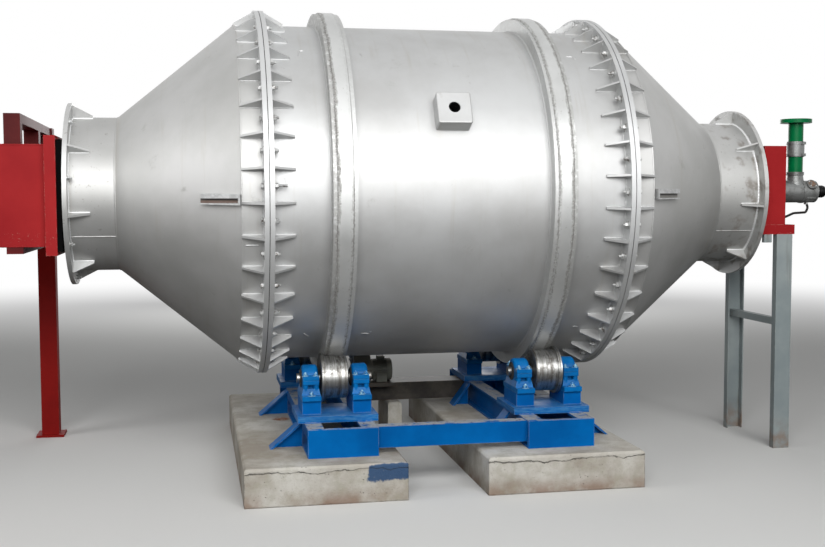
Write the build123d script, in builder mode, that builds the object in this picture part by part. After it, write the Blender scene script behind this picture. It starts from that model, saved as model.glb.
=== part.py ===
from build123d import *
from math import atan2, copysign, cos, degrees, radians, sin, tan
import os

# A rotary melting furnace: a brick-lined steel drum with two cones turns on four rollers,
# between a fixed flue hood at its left end and a burner box at its right end.
# Millimetres. The drum lies along X, the front faces -Y, and Z is up from the ground.
# The origin is on the ground, straight under the middle of the drum.

os.makedirs("parts", exist_ok=True)

# Clearances
weld_gap = 0.3
mortar_gap = 0.3
rolling_gap = 0.5
bearing_gap = 0.05

# Drum shell and cones
axis_height = 1630.0
shell_radius = 1000.0
shell_wall = 20.0
half_shell_length = 1000.0
belt_length = 140.0
cone_length = 675.0
throat_radius = 450.0
throat_length = 275.0

# Refractory lining, laid in staves
lining_thickness = 200.0
throat_lining_thickness = 110.0
stave_count = 16

# Bolted joints between the shell and the cones
flange_height = 86.0
flange_thickness = 25.0
gasket_thickness = 4.0
gasket_inset = 9.0
gusset_count = 36
gusset_length = 115.0
gusset_thickness = 12.0
gusset_tip_height = 15.0
gusset_rim_inset = 6.0
left_joint_phase = 7.0
right_joint_phase = 5.0

# Flanges at the throats
throat_flange_height = 82.0
throat_gusset_count = 8
left_throat_phase = 31.0
right_throat_phase = 35.5

# Riding rings
ring_station = 604.0
ring_height = 84.0
ring_width = 90.0
ring_chamfer = 5.0
retainer_width = 20.0
retainer_inset = 8.0

# Tap block on the front of the shell
tap_angle = 25.0
tap_block_size = 190.0
tap_block_height = 85.0
tap_hole_radius = 32.5
tap_corner_radius = 14.0
tap_edge_radius = 7.0

# Channel lugs on the cones
left_lug_angle = -2.0
right_lug_angle = -0.7
lug_start = 10.0
lug_length = 200.0
lug_height = 58.0
lug_depth = 46.0
lug_wall = 10.0
lug_upper_wall = 26.0
lug_lower_wall = 8.0

# Support rollers
roller_angle = 30.0
roller_radius = 120.0
roller_inner_lap = 10.0
roller_outer_lap = 30.0
roller_flange_radius = 137.0
roller_flange_thickness = 20.0
roller_chamfer = 4.0
shaft_radius = 27.5
shaft_end_length = 25.0

# Pillow blocks, with their offsets measured from the middle of the riding ring
outer_block_offset = 155.0
inner_block_offset = 128.0
block_width = 90.0
block_centre_height = 110.0
block_cap_radius = 75.0
block_cap_fillet = 16.0
block_ear_length = 112.0
block_ear_thickness = 24.0
block_split_gap = 1.0
block_neck_height = 36.0
block_neck_length = 230.0
block_boss_radius = 15.0
block_boss_pitch = 60.0
block_boss_offset = 95.0
block_foot_width = 106.0
block_foot_length = 300.0
block_foot_thickness = 28.0

# Pedestals, sole plates and base frames
pedestal_height = 76.0
pedestal_length = 264.0
sole_thickness = 38.0
sole_length = 380.0
sole_overhang = 30.0
frame_inner_offset = 182.0
frame_width = 383.0
frame_half_length = 980.0
frame_height = 156.0
beam_width = 90.0
beam_flange_thickness = 12.0
beam_web_thickness = 8.0
end_plate_thickness = 15.0

# Braces on both sides of each frame
outer_brace_reach = 186.0
inner_brace_reach = 118.0
brace_web_thickness = 12.0
brace_flange_thickness = 16.0
brace_flange_width = 110.0
outer_brace_front_y = -650.0
outer_brace_rear_y = 350.0
inner_brace_front_y = -560.0
inner_brace_rear_y = 430.0

# Ties between the frames
front_tie_inset = 80.0
tie_height = 118.0
tie_lift = 34.0
tie_wall = 10.0
front_tie_width = 75.0
rear_tie_width = 200.0

# Concrete plinths and pier
left_plinth_outer_ledge = 350.0
left_plinth_inner_ledge = 132.0
right_plinth_inner_ledge = 272.0
right_plinth_outer_ledge = 235.0
plinth_end_ledge = 165.0
plinth_chamfer = 12.0
pier_gap = 157.0
pier_width = 95.0
pier_length = 400.0

# Drive on the rear shaft
drive_plate_thickness = 25.0
drive_plate_length = 360.0
drive_plate_overhang = 20.0
case_offset = 304.0
case_width = 110.0
case_shaft_radius = 95.0
case_motor_radius = 75.0
motor_setback = 147.0
motor_radius = 65.0
motor_length = 140.0
terminal_box_length = 50.0
terminal_box_height = 25.0

# Burner box and its stand
box_gap = 40.0
box_width = 146.0
box_half_depth = 400.0
box_drop = 204.0
box_rise = 290.0
box_wall = 8.0
burner_port_radius = 160.0
ledge_height = 60.0
ledge_inner_lap = 10.0
ledge_outer_lap = 66.0
front_post_offset = 145.0
front_post_width = 106.0
rear_post_offset = 155.0
rear_post_width = 114.0
rear_post_inset = 100.0
post_depth = 50.0
post_wall = 8.0
stand_tie_height = 828.0
stand_tie_size = 45.0
stand_tie_wall = 6.0

# Burner
burner_rise = 6.0
burner_flange_radius = 88.0
burner_flange_thickness = 20.0
burner_radius = 73.0
burner_length = 428.0
knob_radius = 37.0
knob_length = 71.0
neck_lower_radius = 66.0
neck_height = 57.0
neck_collar_radius = 57.0
neck_collar_height = 22.0

# Air riser on the burner
air_pipe_offset = 290.0
air_pipe_radius = 48.5
air_pipe_wall = 4.0
air_pipe_rise = 486.0
sleeve_radius = 57.0
sleeve_length = 101.0
sleeve_lift = 101.0
air_flange_radius = 102.0
air_flange_thickness = 26.0
air_bolt_count = 4
air_bolt_circle_radius = 76.0
air_bolt_radius = 9.0

# Flue hood
hood_gap = 36.0
hood_drop = 10.0
hood_length = 623.0
hood_half_depth = 420.0
hood_half_height = 281.0
hood_wall = 8.0
hood_frame_width = 61.0
hood_frame_step = 50.0
seal_thickness = 26.0
seal_inset = 22.0
seal_port_radius = 290.0
outlet_radius = 174.0
outlet_flange_radius = 230.0
outlet_flange_thickness = 26.0
outlet_bolt_count = 8
outlet_bolt_circle_radius = 207.0
outlet_bolt_radius = 9.0

# Swing frame that carries the hood
jib_offset = 230.0
jib_width = 88.0
jib_rise = 171.0
jib_arm_height = 52.0
lower_arm_height = 40.0
hanger_depth = 80.0
column_width = 112.0
column_setback = 565.0
column_foot_width = 180.0
column_foot_thickness = 15.0

# Sizes worked out around the drum
ring_radius = shell_radius + ring_height
flange_radius = shell_radius + flange_height
lining_radius = shell_radius - shell_wall - weld_gap
chamber_radius = lining_radius + weld_gap - lining_thickness
port_radius = throat_radius - shell_wall - throat_lining_thickness
belt_end_x = half_shell_length + belt_length
throat_x = belt_end_x + cone_length
throat_face_x = throat_x + throat_length
throat_flange_radius = throat_radius + throat_flange_height
cone_slope = (shell_radius - throat_radius) / cone_length
cone_angle = atan2(shell_radius - throat_radius, cone_length)

# Heights worked out down from the drum to the ground
roller_distance = ring_radius + roller_radius + rolling_gap
roller_y = roller_distance * sin(radians(roller_angle))
roller_z = axis_height - roller_distance * cos(radians(roller_angle))
pedestal_top = roller_z - block_centre_height
sole_top = pedestal_top - pedestal_height
frame_top = sole_top - sole_thickness
frame_bottom = frame_top - frame_height
tie_bottom = frame_bottom + tie_lift
tie_top = tie_bottom + tie_height

# Widths worked out from the riding rings to the plinths
outer_block_x = ring_station + outer_block_offset
inner_block_x = ring_station - inner_block_offset
outer_shaft_x = outer_block_x + block_width / 2 + shaft_end_length
inner_shaft_x = inner_block_x - block_width / 2 - shaft_end_length
frame_inner_x = ring_station - frame_inner_offset
frame_outer_x = frame_inner_x + frame_width

drum_axis = Axis((0, 0, axis_height), (1, 0, 0))
drum_plane = Plane(origin=(0, 0, axis_height), x_dir=(1, 0, 0), z_dir=(0, -1, 0))
both_sides = ((-1, "left"), (1, "right"))


def radial_plane(angle):
    """A plane through the drum's axis: x runs along the drum, y runs outward at this angle."""
    outward = Vector(0, -cos(radians(angle)), sin(radians(angle)))
    return Plane(origin=(0, 0, axis_height), x_dir=(1, 0, 0), z_dir=Vector(1, 0, 0).cross(outward))


def ring_face(x, outer_radius, inner_radius):
    """A flat ring about the drum's axis, across the drum at x."""
    with BuildSketch(Plane.YZ.offset(x)) as face:
        with Locations((0, axis_height)):
            Circle(outer_radius)
            Circle(inner_radius, mode=Mode.SUBTRACT)
    return face.sketch


def save(piece, name):
    """Label a finished piece and write it."""
    piece.label = name
    export_step(piece, f"parts/{name}.step")


tap_plane = Plane(origin=(0, 0, axis_height), x_dir=(1, 0, 0), z_dir=radial_plane(tap_angle).y_dir)

# Drum shell: a rolled cylinder with the tap hole through its front
with BuildPart() as drum_shell:
    shell_end = ring_face(-half_shell_length, shell_radius, shell_radius - shell_wall)
    extrude(shell_end, amount=2 * half_shell_length)
    with BuildSketch(tap_plane):
        Circle(tap_hole_radius)
    extrude(amount=2 * shell_radius, mode=Mode.SUBTRACT)
save(drum_shell.part, "drum_shell")

# Bolted joints: a ring flange on each side, with a crown of gussets behind each flange
for side, hand in both_sides:
    phase = left_joint_phase if side < 0 else right_joint_phase
    gusset_planes = [radial_plane(phase + step * 360 / gusset_count) for step in range(gusset_count)]
    with BuildPart() as joint_gussets:
        for away, owner in ((-1, "drum"), (1, "cone")):
            mating_x = side * (half_shell_length + away * gasket_thickness / 2)
            back_x = mating_x + side * away * flange_thickness
            foot_x = back_x + side * away * weld_gap
            tip_x = foot_x + side * away * gusset_length
            with BuildPart(mode=Mode.PRIVATE) as joint_flange:
                extrude(
                    ring_face(mating_x, flange_radius, shell_radius + weld_gap),
                    amount=side * away * flange_thickness,
                )
            save(joint_flange.part, f"{owner}_flange_{hand}")

            with BuildSketch(*gusset_planes):
                with BuildLine():
                    Polyline(
                        (foot_x, shell_radius + weld_gap),
                        (tip_x, shell_radius + weld_gap),
                        (tip_x, shell_radius + gusset_tip_height),
                        (foot_x, flange_radius - gusset_rim_inset),
                        close=True,
                    )
                make_face()
            extrude(amount=gusset_thickness / 2, both=True)
    save(joint_gussets.part, f"joint_gussets_{hand}")

# Gaskets in the two bolted joints
with BuildPart() as joint_gaskets:
    for side, hand in both_sides:
        extrude(
            ring_face(side * half_shell_length, flange_radius - gasket_inset, shell_radius),
            amount=gasket_thickness / 2,
            both=True,
        )
save(joint_gaskets.part, "joint_gaskets")

# Cones: a short belt, the cone and the throat, welded up as one shell, with a lining inside
outer_corner = shell_wall * tan(cone_angle / 2)
lining_corner = (shell_wall + weld_gap) * tan(cone_angle / 2)
chamber_corner = (shell_wall + lining_thickness) * tan(cone_angle / 2)
port_corner = (shell_wall + throat_lining_thickness) * tan(cone_angle / 2)
start_x = half_shell_length + gasket_thickness / 2
tap_joint_angle = 180 - tap_angle + 180 / stave_count
for side, hand in both_sides:
    with BuildPart() as cone:
        with BuildSketch(drum_plane):
            with BuildLine():
                Polyline(
                    (side * start_x, shell_radius),
                    (side * belt_end_x, shell_radius),
                    (side * throat_x, throat_radius),
                    (side * throat_face_x, throat_radius),
                    (side * throat_face_x, throat_radius - shell_wall),
                    (side * (throat_x - outer_corner), throat_radius - shell_wall),
                    (side * (belt_end_x - outer_corner), shell_radius - shell_wall),
                    (side * start_x, shell_radius - shell_wall),
                    close=True,
                )
            make_face()
        revolve(axis=drum_axis)
    save(cone.part, f"cone_{hand}")

    with BuildPart() as lining_cone:
        with BuildSketch(drum_plane):
            with BuildLine():
                Polyline(
                    (side * start_x, lining_radius),
                    (side * (belt_end_x - lining_corner), lining_radius),
                    (side * (throat_x - lining_corner), throat_radius - shell_wall - weld_gap),
                    (side * throat_face_x, throat_radius - shell_wall - weld_gap),
                    (side * throat_face_x, port_radius),
                    (side * (throat_x - port_corner), port_radius),
                    (side * (belt_end_x - chamber_corner), chamber_radius),
                    (side * start_x, chamber_radius),
                    close=True,
                )
            make_face()
        revolve(axis=drum_axis)
        with BuildSketch(Plane.YZ):
            with Locations((0, axis_height)):
                with PolarLocations(0, stave_count // 2, start_angle=tap_joint_angle, angular_range=180):
                    Rectangle(2 * shell_radius, mortar_gap)
        extrude(amount=side * throat_face_x, mode=Mode.SUBTRACT)
    save(lining_cone.part, f"lining_cone_{hand}")

# Lining of the drum, with one stave centred on the tap hole
with BuildPart() as lining_drum:
    with BuildSketch(Plane.YZ.offset(-half_shell_length)):
        with Locations((0, axis_height)):
            Circle(lining_radius)
            Circle(chamber_radius, mode=Mode.SUBTRACT)
            with PolarLocations(0, stave_count // 2, start_angle=tap_joint_angle, angular_range=180):
                Rectangle(2 * shell_radius, mortar_gap, mode=Mode.SUBTRACT)
    extrude(amount=2 * half_shell_length)
    with BuildSketch(tap_plane):
        Circle(tap_hole_radius)
    extrude(amount=shell_radius, mode=Mode.SUBTRACT)
save(lining_drum.part, "lining_drum")

# Throat flanges: the end rings that face the hood and the burner box, with their gussets
with BuildPart() as throat_gussets:
    for side, hand in both_sides:
        phase = left_throat_phase if side < 0 else right_throat_phase
        gusset_planes = [
            radial_plane(phase + step * 360 / throat_gusset_count) for step in range(throat_gusset_count)
        ]
        with BuildPart(mode=Mode.PRIVATE) as throat_flange:
            extrude(
                ring_face(side * throat_face_x, throat_flange_radius, throat_radius + weld_gap),
                amount=-side * flange_thickness,
            )
        save(throat_flange.part, f"throat_flange_{hand}")

        foot_x = throat_face_x - flange_thickness - weld_gap
        with BuildSketch(*gusset_planes):
            with BuildLine():
                Polyline(
                    (side * foot_x, throat_radius + weld_gap),
                    (side * (foot_x - gusset_length), throat_radius + weld_gap),
                    (side * (foot_x - gusset_length), throat_radius + gusset_tip_height),
                    (side * foot_x, throat_flange_radius - gusset_rim_inset),
                    close=True,
                )
            make_face()
        extrude(amount=gusset_thickness / 2, both=True)
save(throat_gussets.part, "throat_gussets")

# Riding rings, each held between two retaining rings
with BuildPart() as ring_retainers:
    for side, hand in both_sides:
        ring_x = side * ring_station
        with BuildPart(mode=Mode.PRIVATE) as riding_ring:
            extrude(
                ring_face(ring_x, ring_radius, shell_radius + weld_gap),
                amount=ring_width / 2,
                both=True,
            )
            rims = riding_ring.edges().filter_by(GeomType.CIRCLE).group_by(SortBy.RADIUS)[-1]
            chamfer(rims, ring_chamfer)
        save(riding_ring.part, f"riding_ring_{hand}")

        for edge in (-1, 1):
            extrude(
                ring_face(
                    ring_x + edge * (ring_width / 2 + weld_gap),
                    ring_radius - retainer_inset,
                    shell_radius + weld_gap,
                ),
                amount=edge * retainer_width,
            )
save(ring_retainers.part, "ring_retainers")

# Tap block: a thick pad with the tap hole, saddled on the shell
with BuildPart() as tap_block:
    with BuildSketch(tap_plane.offset(shell_radius - 2 * shell_wall)):
        RectangleRounded(tap_block_size, tap_block_size, tap_corner_radius)
    extrude(amount=tap_block_height + 2 * shell_wall)
    tap_face = tap_block.faces().sort_by(Axis((0, 0, axis_height), tap_plane.z_dir))[-1]
    fillet(tap_face.edges(), tap_edge_radius)
    with BuildSketch(tap_plane):
        Circle(tap_hole_radius)
    extrude(amount=2 * shell_radius, mode=Mode.SUBTRACT)
    with BuildSketch(Plane.YZ.offset(-tap_block_size)):
        with Locations((0, axis_height)):
            Circle(shell_radius + weld_gap)
    extrude(amount=2 * tap_block_size, mode=Mode.SUBTRACT)
save(tap_block.part, "tap_block")

# Cone lugs: a short channel with a closed end and a thick upper leg, front and back on each cone
pocket_height = lug_height - lug_upper_wall - lug_lower_wall
pocket_shift = (lug_upper_wall - lug_lower_wall) / 2
with BuildPart() as cone_lugs:
    for side, hand in both_sides:
        lug_angle = left_lug_angle if side < 0 else right_lug_angle
        near_x = belt_end_x + lug_start
        far_x = near_x + lug_length
        near_r = shell_radius - lug_start * cone_slope
        far_r = near_r - lug_length * cone_slope
        pocket_r = near_r - lug_wall * cone_slope
        for turn in (0, 180):
            with BuildSketch(radial_plane(lug_angle + turn)):
                with BuildLine():
                    Polyline(
                        (side * near_x, near_r + weld_gap),
                        (side * near_x, near_r + lug_depth),
                        (side * far_x, far_r + lug_depth),
                        (side * far_x, far_r + weld_gap),
                        close=True,
                    )
                make_face()
            extrude(amount=lug_height / 2, both=True)
            with BuildSketch(radial_plane(lug_angle + turn).offset(pocket_shift)):
                with BuildLine():
                    Polyline(
                        (side * (near_x + lug_wall), pocket_r + lug_wall),
                        (side * (near_x + lug_wall), pocket_r + 2 * lug_depth),
                        (side * far_x, far_r + 2 * lug_depth),
                        (side * far_x, far_r + lug_wall),
                        close=True,
                    )
                make_face()
            extrude(amount=pocket_height / 2, both=True, mode=Mode.SUBTRACT)
save(cone_lugs.part, "cone_lugs")


# Support rollers: each has a thrust flange on its outer end
def roller_profile(side, core_radius):
    """The outline of a roller above its core, as (x, radius) points."""
    inner_x = side * (ring_station - ring_width / 2 - roller_inner_lap)
    flange_x = side * (ring_station + ring_width / 2 + roller_outer_lap)
    outer_x = flange_x + side * roller_flange_thickness
    return [
        (inner_x, core_radius),
        (inner_x, roller_radius - roller_chamfer),
        (inner_x + side * roller_chamfer, roller_radius),
        (flange_x, roller_radius),
        (flange_x, roller_flange_radius),
        (outer_x, roller_flange_radius),
        (outer_x, core_radius),
    ]


for side, hand in both_sides:
    with BuildPart() as front_roller:
        with BuildSketch(Plane(origin=(0, -roller_y, roller_z), x_dir=(1, 0, 0), z_dir=(0, -1, 0))):
            with BuildLine():
                Polyline(
                    (side * inner_shaft_x, 0),
                    (side * inner_shaft_x, shaft_radius),
                    *roller_profile(side, shaft_radius),
                    (side * outer_shaft_x, shaft_radius),
                    (side * outer_shaft_x, 0),
                    close=True,
                )
            make_face()
        revolve(axis=Axis((0, -roller_y, roller_z), (1, 0, 0)))
    save(front_roller.part, f"front_roller_{hand}")

    with BuildPart() as rear_roller:
        with BuildSketch(Plane(origin=(0, roller_y, roller_z), x_dir=(1, 0, 0), z_dir=(0, -1, 0))):
            with BuildLine():
                Polyline(*roller_profile(side, shaft_radius + weld_gap), close=True)
            make_face()
        revolve(axis=Axis((0, roller_y, roller_z), (1, 0, 0)))
    save(rear_roller.part, f"rear_roller_{hand}")

with BuildPart() as drive_shaft:
    with BuildSketch(Plane.YZ.offset(-outer_shaft_x)):
        with Locations((roller_y, roller_z)):
            Circle(shaft_radius)
    extrude(amount=2 * outer_shaft_x)
save(drive_shaft.part, "drive_shaft")

# Pillow blocks: split cast housings, two at each roller
foot_top = pedestal_top + block_foot_thickness
neck_taper = degrees(atan2((block_foot_width - block_width) / 2, block_neck_height))
block_inside = block_cap_radius + block_foot_thickness
for side, hand in both_sides:
    block_stations = [
        (side * block_x, station_y)
        for station_y in (-roller_y, roller_y)
        for block_x in (inner_block_x, outer_block_x)
    ]
    with BuildPart() as bearing_bases:
        with BuildSketch(Plane.XY.offset(pedestal_top)):
            with Locations(*block_stations):
                Rectangle(block_foot_width, block_foot_length)
        extrude(amount=block_foot_thickness)
        with BuildSketch(Plane.XY.offset(foot_top)):
            with Locations(*block_stations):
                Rectangle(block_foot_width, block_neck_length)
        extrude(amount=block_neck_height, taper=neck_taper)
        with BuildSketch(Plane.XY.offset(foot_top)):
            with Locations(*block_stations):
                Rectangle(block_width, 2 * block_cap_radius)
        extrude(amount=roller_z - block_split_gap / 2 - foot_top)
        with BuildSketch(Plane.XY.offset(roller_z - block_split_gap / 2)):
            with Locations(*block_stations):
                Rectangle(block_width, 2 * block_ear_length)
        extrude(amount=-block_ear_thickness)
        with BuildSketch(Plane.XY.offset(foot_top)):
            with Locations(*block_stations):
                with GridLocations(block_boss_pitch, 2 * block_boss_offset, 2, 2):
                    Circle(block_boss_radius)
        extrude(amount=roller_z - block_ear_thickness - foot_top)
        for block_x, station_y in block_stations:
            with Locations(Location((block_x, station_y, roller_z), (0, 90, 0))):
                Cylinder(shaft_radius + bearing_gap, block_foot_width, mode=Mode.SUBTRACT)
    save(bearing_bases.part, f"bearing_bases_{hand}")

    with BuildPart() as bearing_caps:
        for block_x, station_y in block_stations:
            with Locations(Location((block_x, station_y, roller_z), (0, 90, 0))):
                Cylinder(block_cap_radius, block_width)
        fillet(bearing_caps.edges().filter_by(GeomType.CIRCLE), block_cap_fillet)
        with BuildSketch(Plane.XY.offset(roller_z)):
            with Locations(*block_stations):
                Rectangle(block_width, 2 * block_ear_length)
        extrude(amount=block_ear_thickness)
        with BuildSketch(Plane.XY.offset(roller_z + block_split_gap / 2)):
            with Locations(*block_stations):
                Rectangle(block_foot_width, 2 * block_ear_length)
        extrude(amount=-block_inside, mode=Mode.SUBTRACT)
        for block_x, station_y in block_stations:
            with Locations(Location((block_x, station_y, roller_z), (0, 90, 0))):
                Cylinder(shaft_radius + bearing_gap, block_foot_width, mode=Mode.SUBTRACT)
    save(bearing_caps.part, f"bearing_caps_{hand}")

    # A sole plate with two pedestals under each roller
    sole_inner_x = inner_block_x - block_foot_width / 2 - sole_overhang
    sole_outer_x = outer_block_x + block_foot_width / 2 + sole_overhang
    with BuildPart() as roller_seats:
        with BuildSketch(Plane.XY.offset(frame_top)):
            for station_y in (-roller_y, roller_y):
                with Locations((side * (sole_inner_x + sole_outer_x) / 2, station_y)):
                    Rectangle(sole_outer_x - sole_inner_x, sole_length)
        extrude(amount=sole_thickness)
        with BuildSketch(Plane.XY.offset(sole_top)):
            with Locations(*block_stations):
                Rectangle(block_foot_width, pedestal_length)
        extrude(amount=pedestal_height)
    save(roller_seats.part, f"roller_seats_{hand}")

    # Base frame: two I-beams on the plinth with a plate across each end
    with BuildPart() as base_frame:
        for beam_x in (frame_inner_x + beam_width / 2, frame_outer_x - beam_width / 2):
            with BuildSketch(Plane.XZ.offset(-frame_half_length + end_plate_thickness)):
                with Locations((side * beam_x, frame_bottom + frame_height / 2)):
                    Rectangle(beam_width, frame_height)
                    Rectangle(beam_width, frame_height - 2 * beam_flange_thickness, mode=Mode.SUBTRACT)
                    Rectangle(beam_web_thickness, frame_height)
            extrude(amount=2 * (frame_half_length - end_plate_thickness))
        for end in (-1, 1):
            with BuildSketch(Plane.XZ.offset(end * frame_half_length)):
                with Locations((side * (frame_inner_x + frame_outer_x) / 2, frame_bottom + frame_height / 2)):
                    Rectangle(frame_width, frame_height)
            extrude(amount=-end * end_plate_thickness)
    save(base_frame.part, f"base_frame_{hand}")

    # Braces: a triangular web under a sloping flange
    with BuildPart() as frame_braces:
        brace_places = (
            (frame_outer_x, outer_brace_reach, outer_brace_front_y),
            (frame_outer_x, outer_brace_reach, outer_brace_rear_y),
            (frame_inner_x, -inner_brace_reach, inner_brace_front_y),
            (frame_inner_x, -inner_brace_reach, inner_brace_rear_y),
        )
        for wall_x, reach, station_y in brace_places:
            foot_x = side * (wall_x + reach)
            flange_foot = side * copysign(brace_flange_thickness, reach)
            flange_drop = brace_flange_thickness * frame_height / abs(reach)
            with BuildSketch(Plane.XZ.offset(-station_y)):
                with BuildLine():
                    Polyline(
                        (side * wall_x, frame_bottom),
                        (foot_x, frame_bottom),
                        (side * wall_x, frame_top),
                        close=True,
                    )
                make_face()
            extrude(amount=brace_web_thickness / 2, both=True)
            with BuildSketch(Plane.XZ.offset(-station_y)):
                with BuildLine():
                    Polyline(
                        (foot_x - flange_foot, frame_bottom),
                        (foot_x, frame_bottom),
                        (side * wall_x, frame_top),
                        (side * wall_x, frame_top - flange_drop),
                        close=True,
                    )
                make_face()
            extrude(amount=brace_flange_width / 2, both=True)
    save(frame_braces.part, f"frame_braces_{hand}")

    # Concrete plinth under the frame, with ledges of different widths at the two ends
    plinth_inner_x = frame_inner_x - (left_plinth_inner_ledge if side < 0 else right_plinth_inner_ledge)
    plinth_outer_x = frame_outer_x + (left_plinth_outer_ledge if side < 0 else right_plinth_outer_ledge)
    with BuildPart() as plinth:
        with BuildSketch(Plane.XY):
            with Locations((side * (plinth_inner_x + plinth_outer_x) / 2, 0)):
                Rectangle(plinth_outer_x - plinth_inner_x, 2 * (frame_half_length + plinth_end_ledge))
        extrude(amount=frame_bottom)
        chamfer(plinth.edges().group_by(Axis.Z)[-1], plinth_chamfer)
    save(plinth.part, f"plinth_{hand}")

# Front tie: a channel between the base frames, open to the rear
front_tie_y = front_tie_inset - frame_half_length
with BuildPart() as front_tie:
    with BuildSketch(Plane.YZ.offset(-frame_inner_x)):
        with Locations((front_tie_y, tie_bottom + tie_height / 2)):
            Rectangle(front_tie_width, tie_height)
            with Locations((tie_wall, 0)):
                Rectangle(front_tie_width, tie_height - 2 * tie_wall, mode=Mode.SUBTRACT)
    extrude(amount=2 * frame_inner_x)
save(front_tie.part, "front_tie_beam")

# Rear tie: a channel with its back up, under the drive
with BuildPart() as rear_tie:
    with BuildSketch(Plane.YZ.offset(-frame_inner_x)):
        with Locations((roller_y, tie_bottom + tie_height / 2)):
            Rectangle(rear_tie_width, tie_height)
            with Locations((0, -tie_wall)):
                Rectangle(rear_tie_width - 2 * tie_wall, tie_height, mode=Mode.SUBTRACT)
    extrude(amount=2 * frame_inner_x)
save(rear_tie.part, "rear_tie_beam")

# Pier under the rear tie, beside the left plinth
pier_x = left_plinth_inner_ledge - frame_inner_x + pier_gap + pier_width / 2
with BuildPart() as drive_pier:
    with BuildSketch(Plane.XY):
        with Locations((pier_x, roller_y)):
            Rectangle(pier_width, pier_length)
    extrude(amount=tie_bottom)
    chamfer(drive_pier.edges().group_by(Axis.Z)[-1], plinth_chamfer)
save(drive_pier.part, "drive_pier")

# Drive: a chain case on the rear shaft and a motor in front of it, on one plate
plate_top = tie_top + drive_plate_thickness
motor_y = roller_y - motor_setback
motor_z = plate_top + case_motor_radius
case_left_x = case_offset - ring_station - case_width / 2
case_right_x = case_left_x + case_width
motor_end_x = case_right_x + motor_length
with BuildPart() as drive_plate:
    with BuildSketch(Plane.XY.offset(tie_top)):
        with Locations(((case_left_x + motor_end_x) / 2, (roller_y + motor_y) / 2)):
            Rectangle(motor_end_x - case_left_x + 2 * drive_plate_overhang, drive_plate_length)
    extrude(amount=drive_plate_thickness)
save(drive_plate.part, "drive_plate")

with BuildPart() as chain_case:
    with BuildSketch(Plane.YZ.offset(case_left_x)):
        with Locations((roller_y, roller_z)):
            Circle(case_shaft_radius)
        with Locations((motor_y, motor_z)):
            Circle(case_motor_radius)
        make_hull()
        with Locations(((roller_y + motor_y) / 2, (plate_top + motor_z) / 2)):
            Rectangle(motor_setback, motor_z - plate_top)
        with Locations((roller_y, roller_z)):
            Circle(shaft_radius + bearing_gap, mode=Mode.SUBTRACT)
    extrude(amount=case_width)
save(chain_case.part, "chain_case")

with BuildPart() as motor:
    with BuildSketch(Plane.YZ.offset(case_right_x)):
        with Locations((motor_y, motor_z)):
            Circle(motor_radius)
    extrude(amount=motor_length)
    with BuildSketch(Plane.XY.offset(motor_z)):
        with Locations(((case_right_x + motor_end_x) / 2, motor_y)):
            Rectangle(terminal_box_length, terminal_box_length)
    extrude(amount=motor_radius + terminal_box_height)
    with BuildSketch(Plane.XY.offset(motor_z)):
        with Locations(((case_right_x + motor_end_x) / 2, motor_y)):
            Rectangle(motor_length / 2, 2 * motor_radius)
    extrude(amount=plate_top - motor_z)
save(motor.part, "motor")

# Burner box: a welded box with a round port that faces the throat
box_inner_x = throat_face_x + box_gap
box_outer_x = box_inner_x + box_width
box_bottom = axis_height - box_drop
box_height = box_drop + box_rise
box_middle = (box_inner_x + box_outer_x) / 2
with BuildPart() as burner_box:
    with Locations((box_middle, 0, box_bottom + box_height / 2)):
        Box(box_width, 2 * box_half_depth, box_height)
        Box(
            box_width - 2 * box_wall,
            2 * (box_half_depth - box_wall),
            box_height - 2 * box_wall,
            mode=Mode.SUBTRACT,
        )
    with BuildSketch(Plane.YZ.offset(box_inner_x)):
        with Locations((0, axis_height)):
            Circle(burner_port_radius)
    extrude(amount=box_wall, mode=Mode.SUBTRACT)
save(burner_box.part, "burner_box")

# Ledge under the burner box, on two channel posts that turn their backs outward
ledge_bottom = box_bottom - ledge_height
front_post_x = box_inner_x + front_post_offset
rear_post_x = box_inner_x + rear_post_offset
rear_post_back_y = box_half_depth - rear_post_inset
with BuildPart() as burner_ledge:
    with BuildSketch(Plane.XY.offset(ledge_bottom)):
        with Locations((box_middle + (ledge_outer_lap - ledge_inner_lap) / 2, 0)):
            Rectangle(box_width + ledge_inner_lap + ledge_outer_lap, 2 * box_half_depth)
    extrude(amount=ledge_height)
save(burner_ledge.part, "burner_ledge")

with BuildPart() as burner_posts:
    with BuildSketch(Plane.XY):
        with Locations((front_post_x, post_depth / 2 - box_half_depth)):
            Rectangle(front_post_width, post_depth)
            with Locations((0, post_wall)):
                Rectangle(front_post_width - 2 * post_wall, post_depth, mode=Mode.SUBTRACT)
        with Locations((rear_post_x, rear_post_back_y - post_depth / 2)):
            Rectangle(rear_post_width, post_depth)
            with Locations((0, -post_wall)):
                Rectangle(rear_post_width - 2 * post_wall, post_depth, mode=Mode.SUBTRACT)
    extrude(amount=ledge_bottom)
save(burner_posts.part, "burner_posts")

# An angle between the backs of the two posts
with BuildPart() as burner_brace:
    with BuildSketch(Plane.XZ.offset(-rear_post_back_y + post_wall)):
        with Locations((front_post_x, stand_tie_height - stand_tie_size / 2)):
            Rectangle(stand_tie_size, stand_tie_size)
            with Locations((stand_tie_wall, -stand_tie_wall)):
                Rectangle(stand_tie_size, stand_tie_size, mode=Mode.SUBTRACT)
    extrude(amount=rear_post_back_y + box_half_depth - 2 * post_wall)
save(burner_brace.part, "burner_brace")

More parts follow.
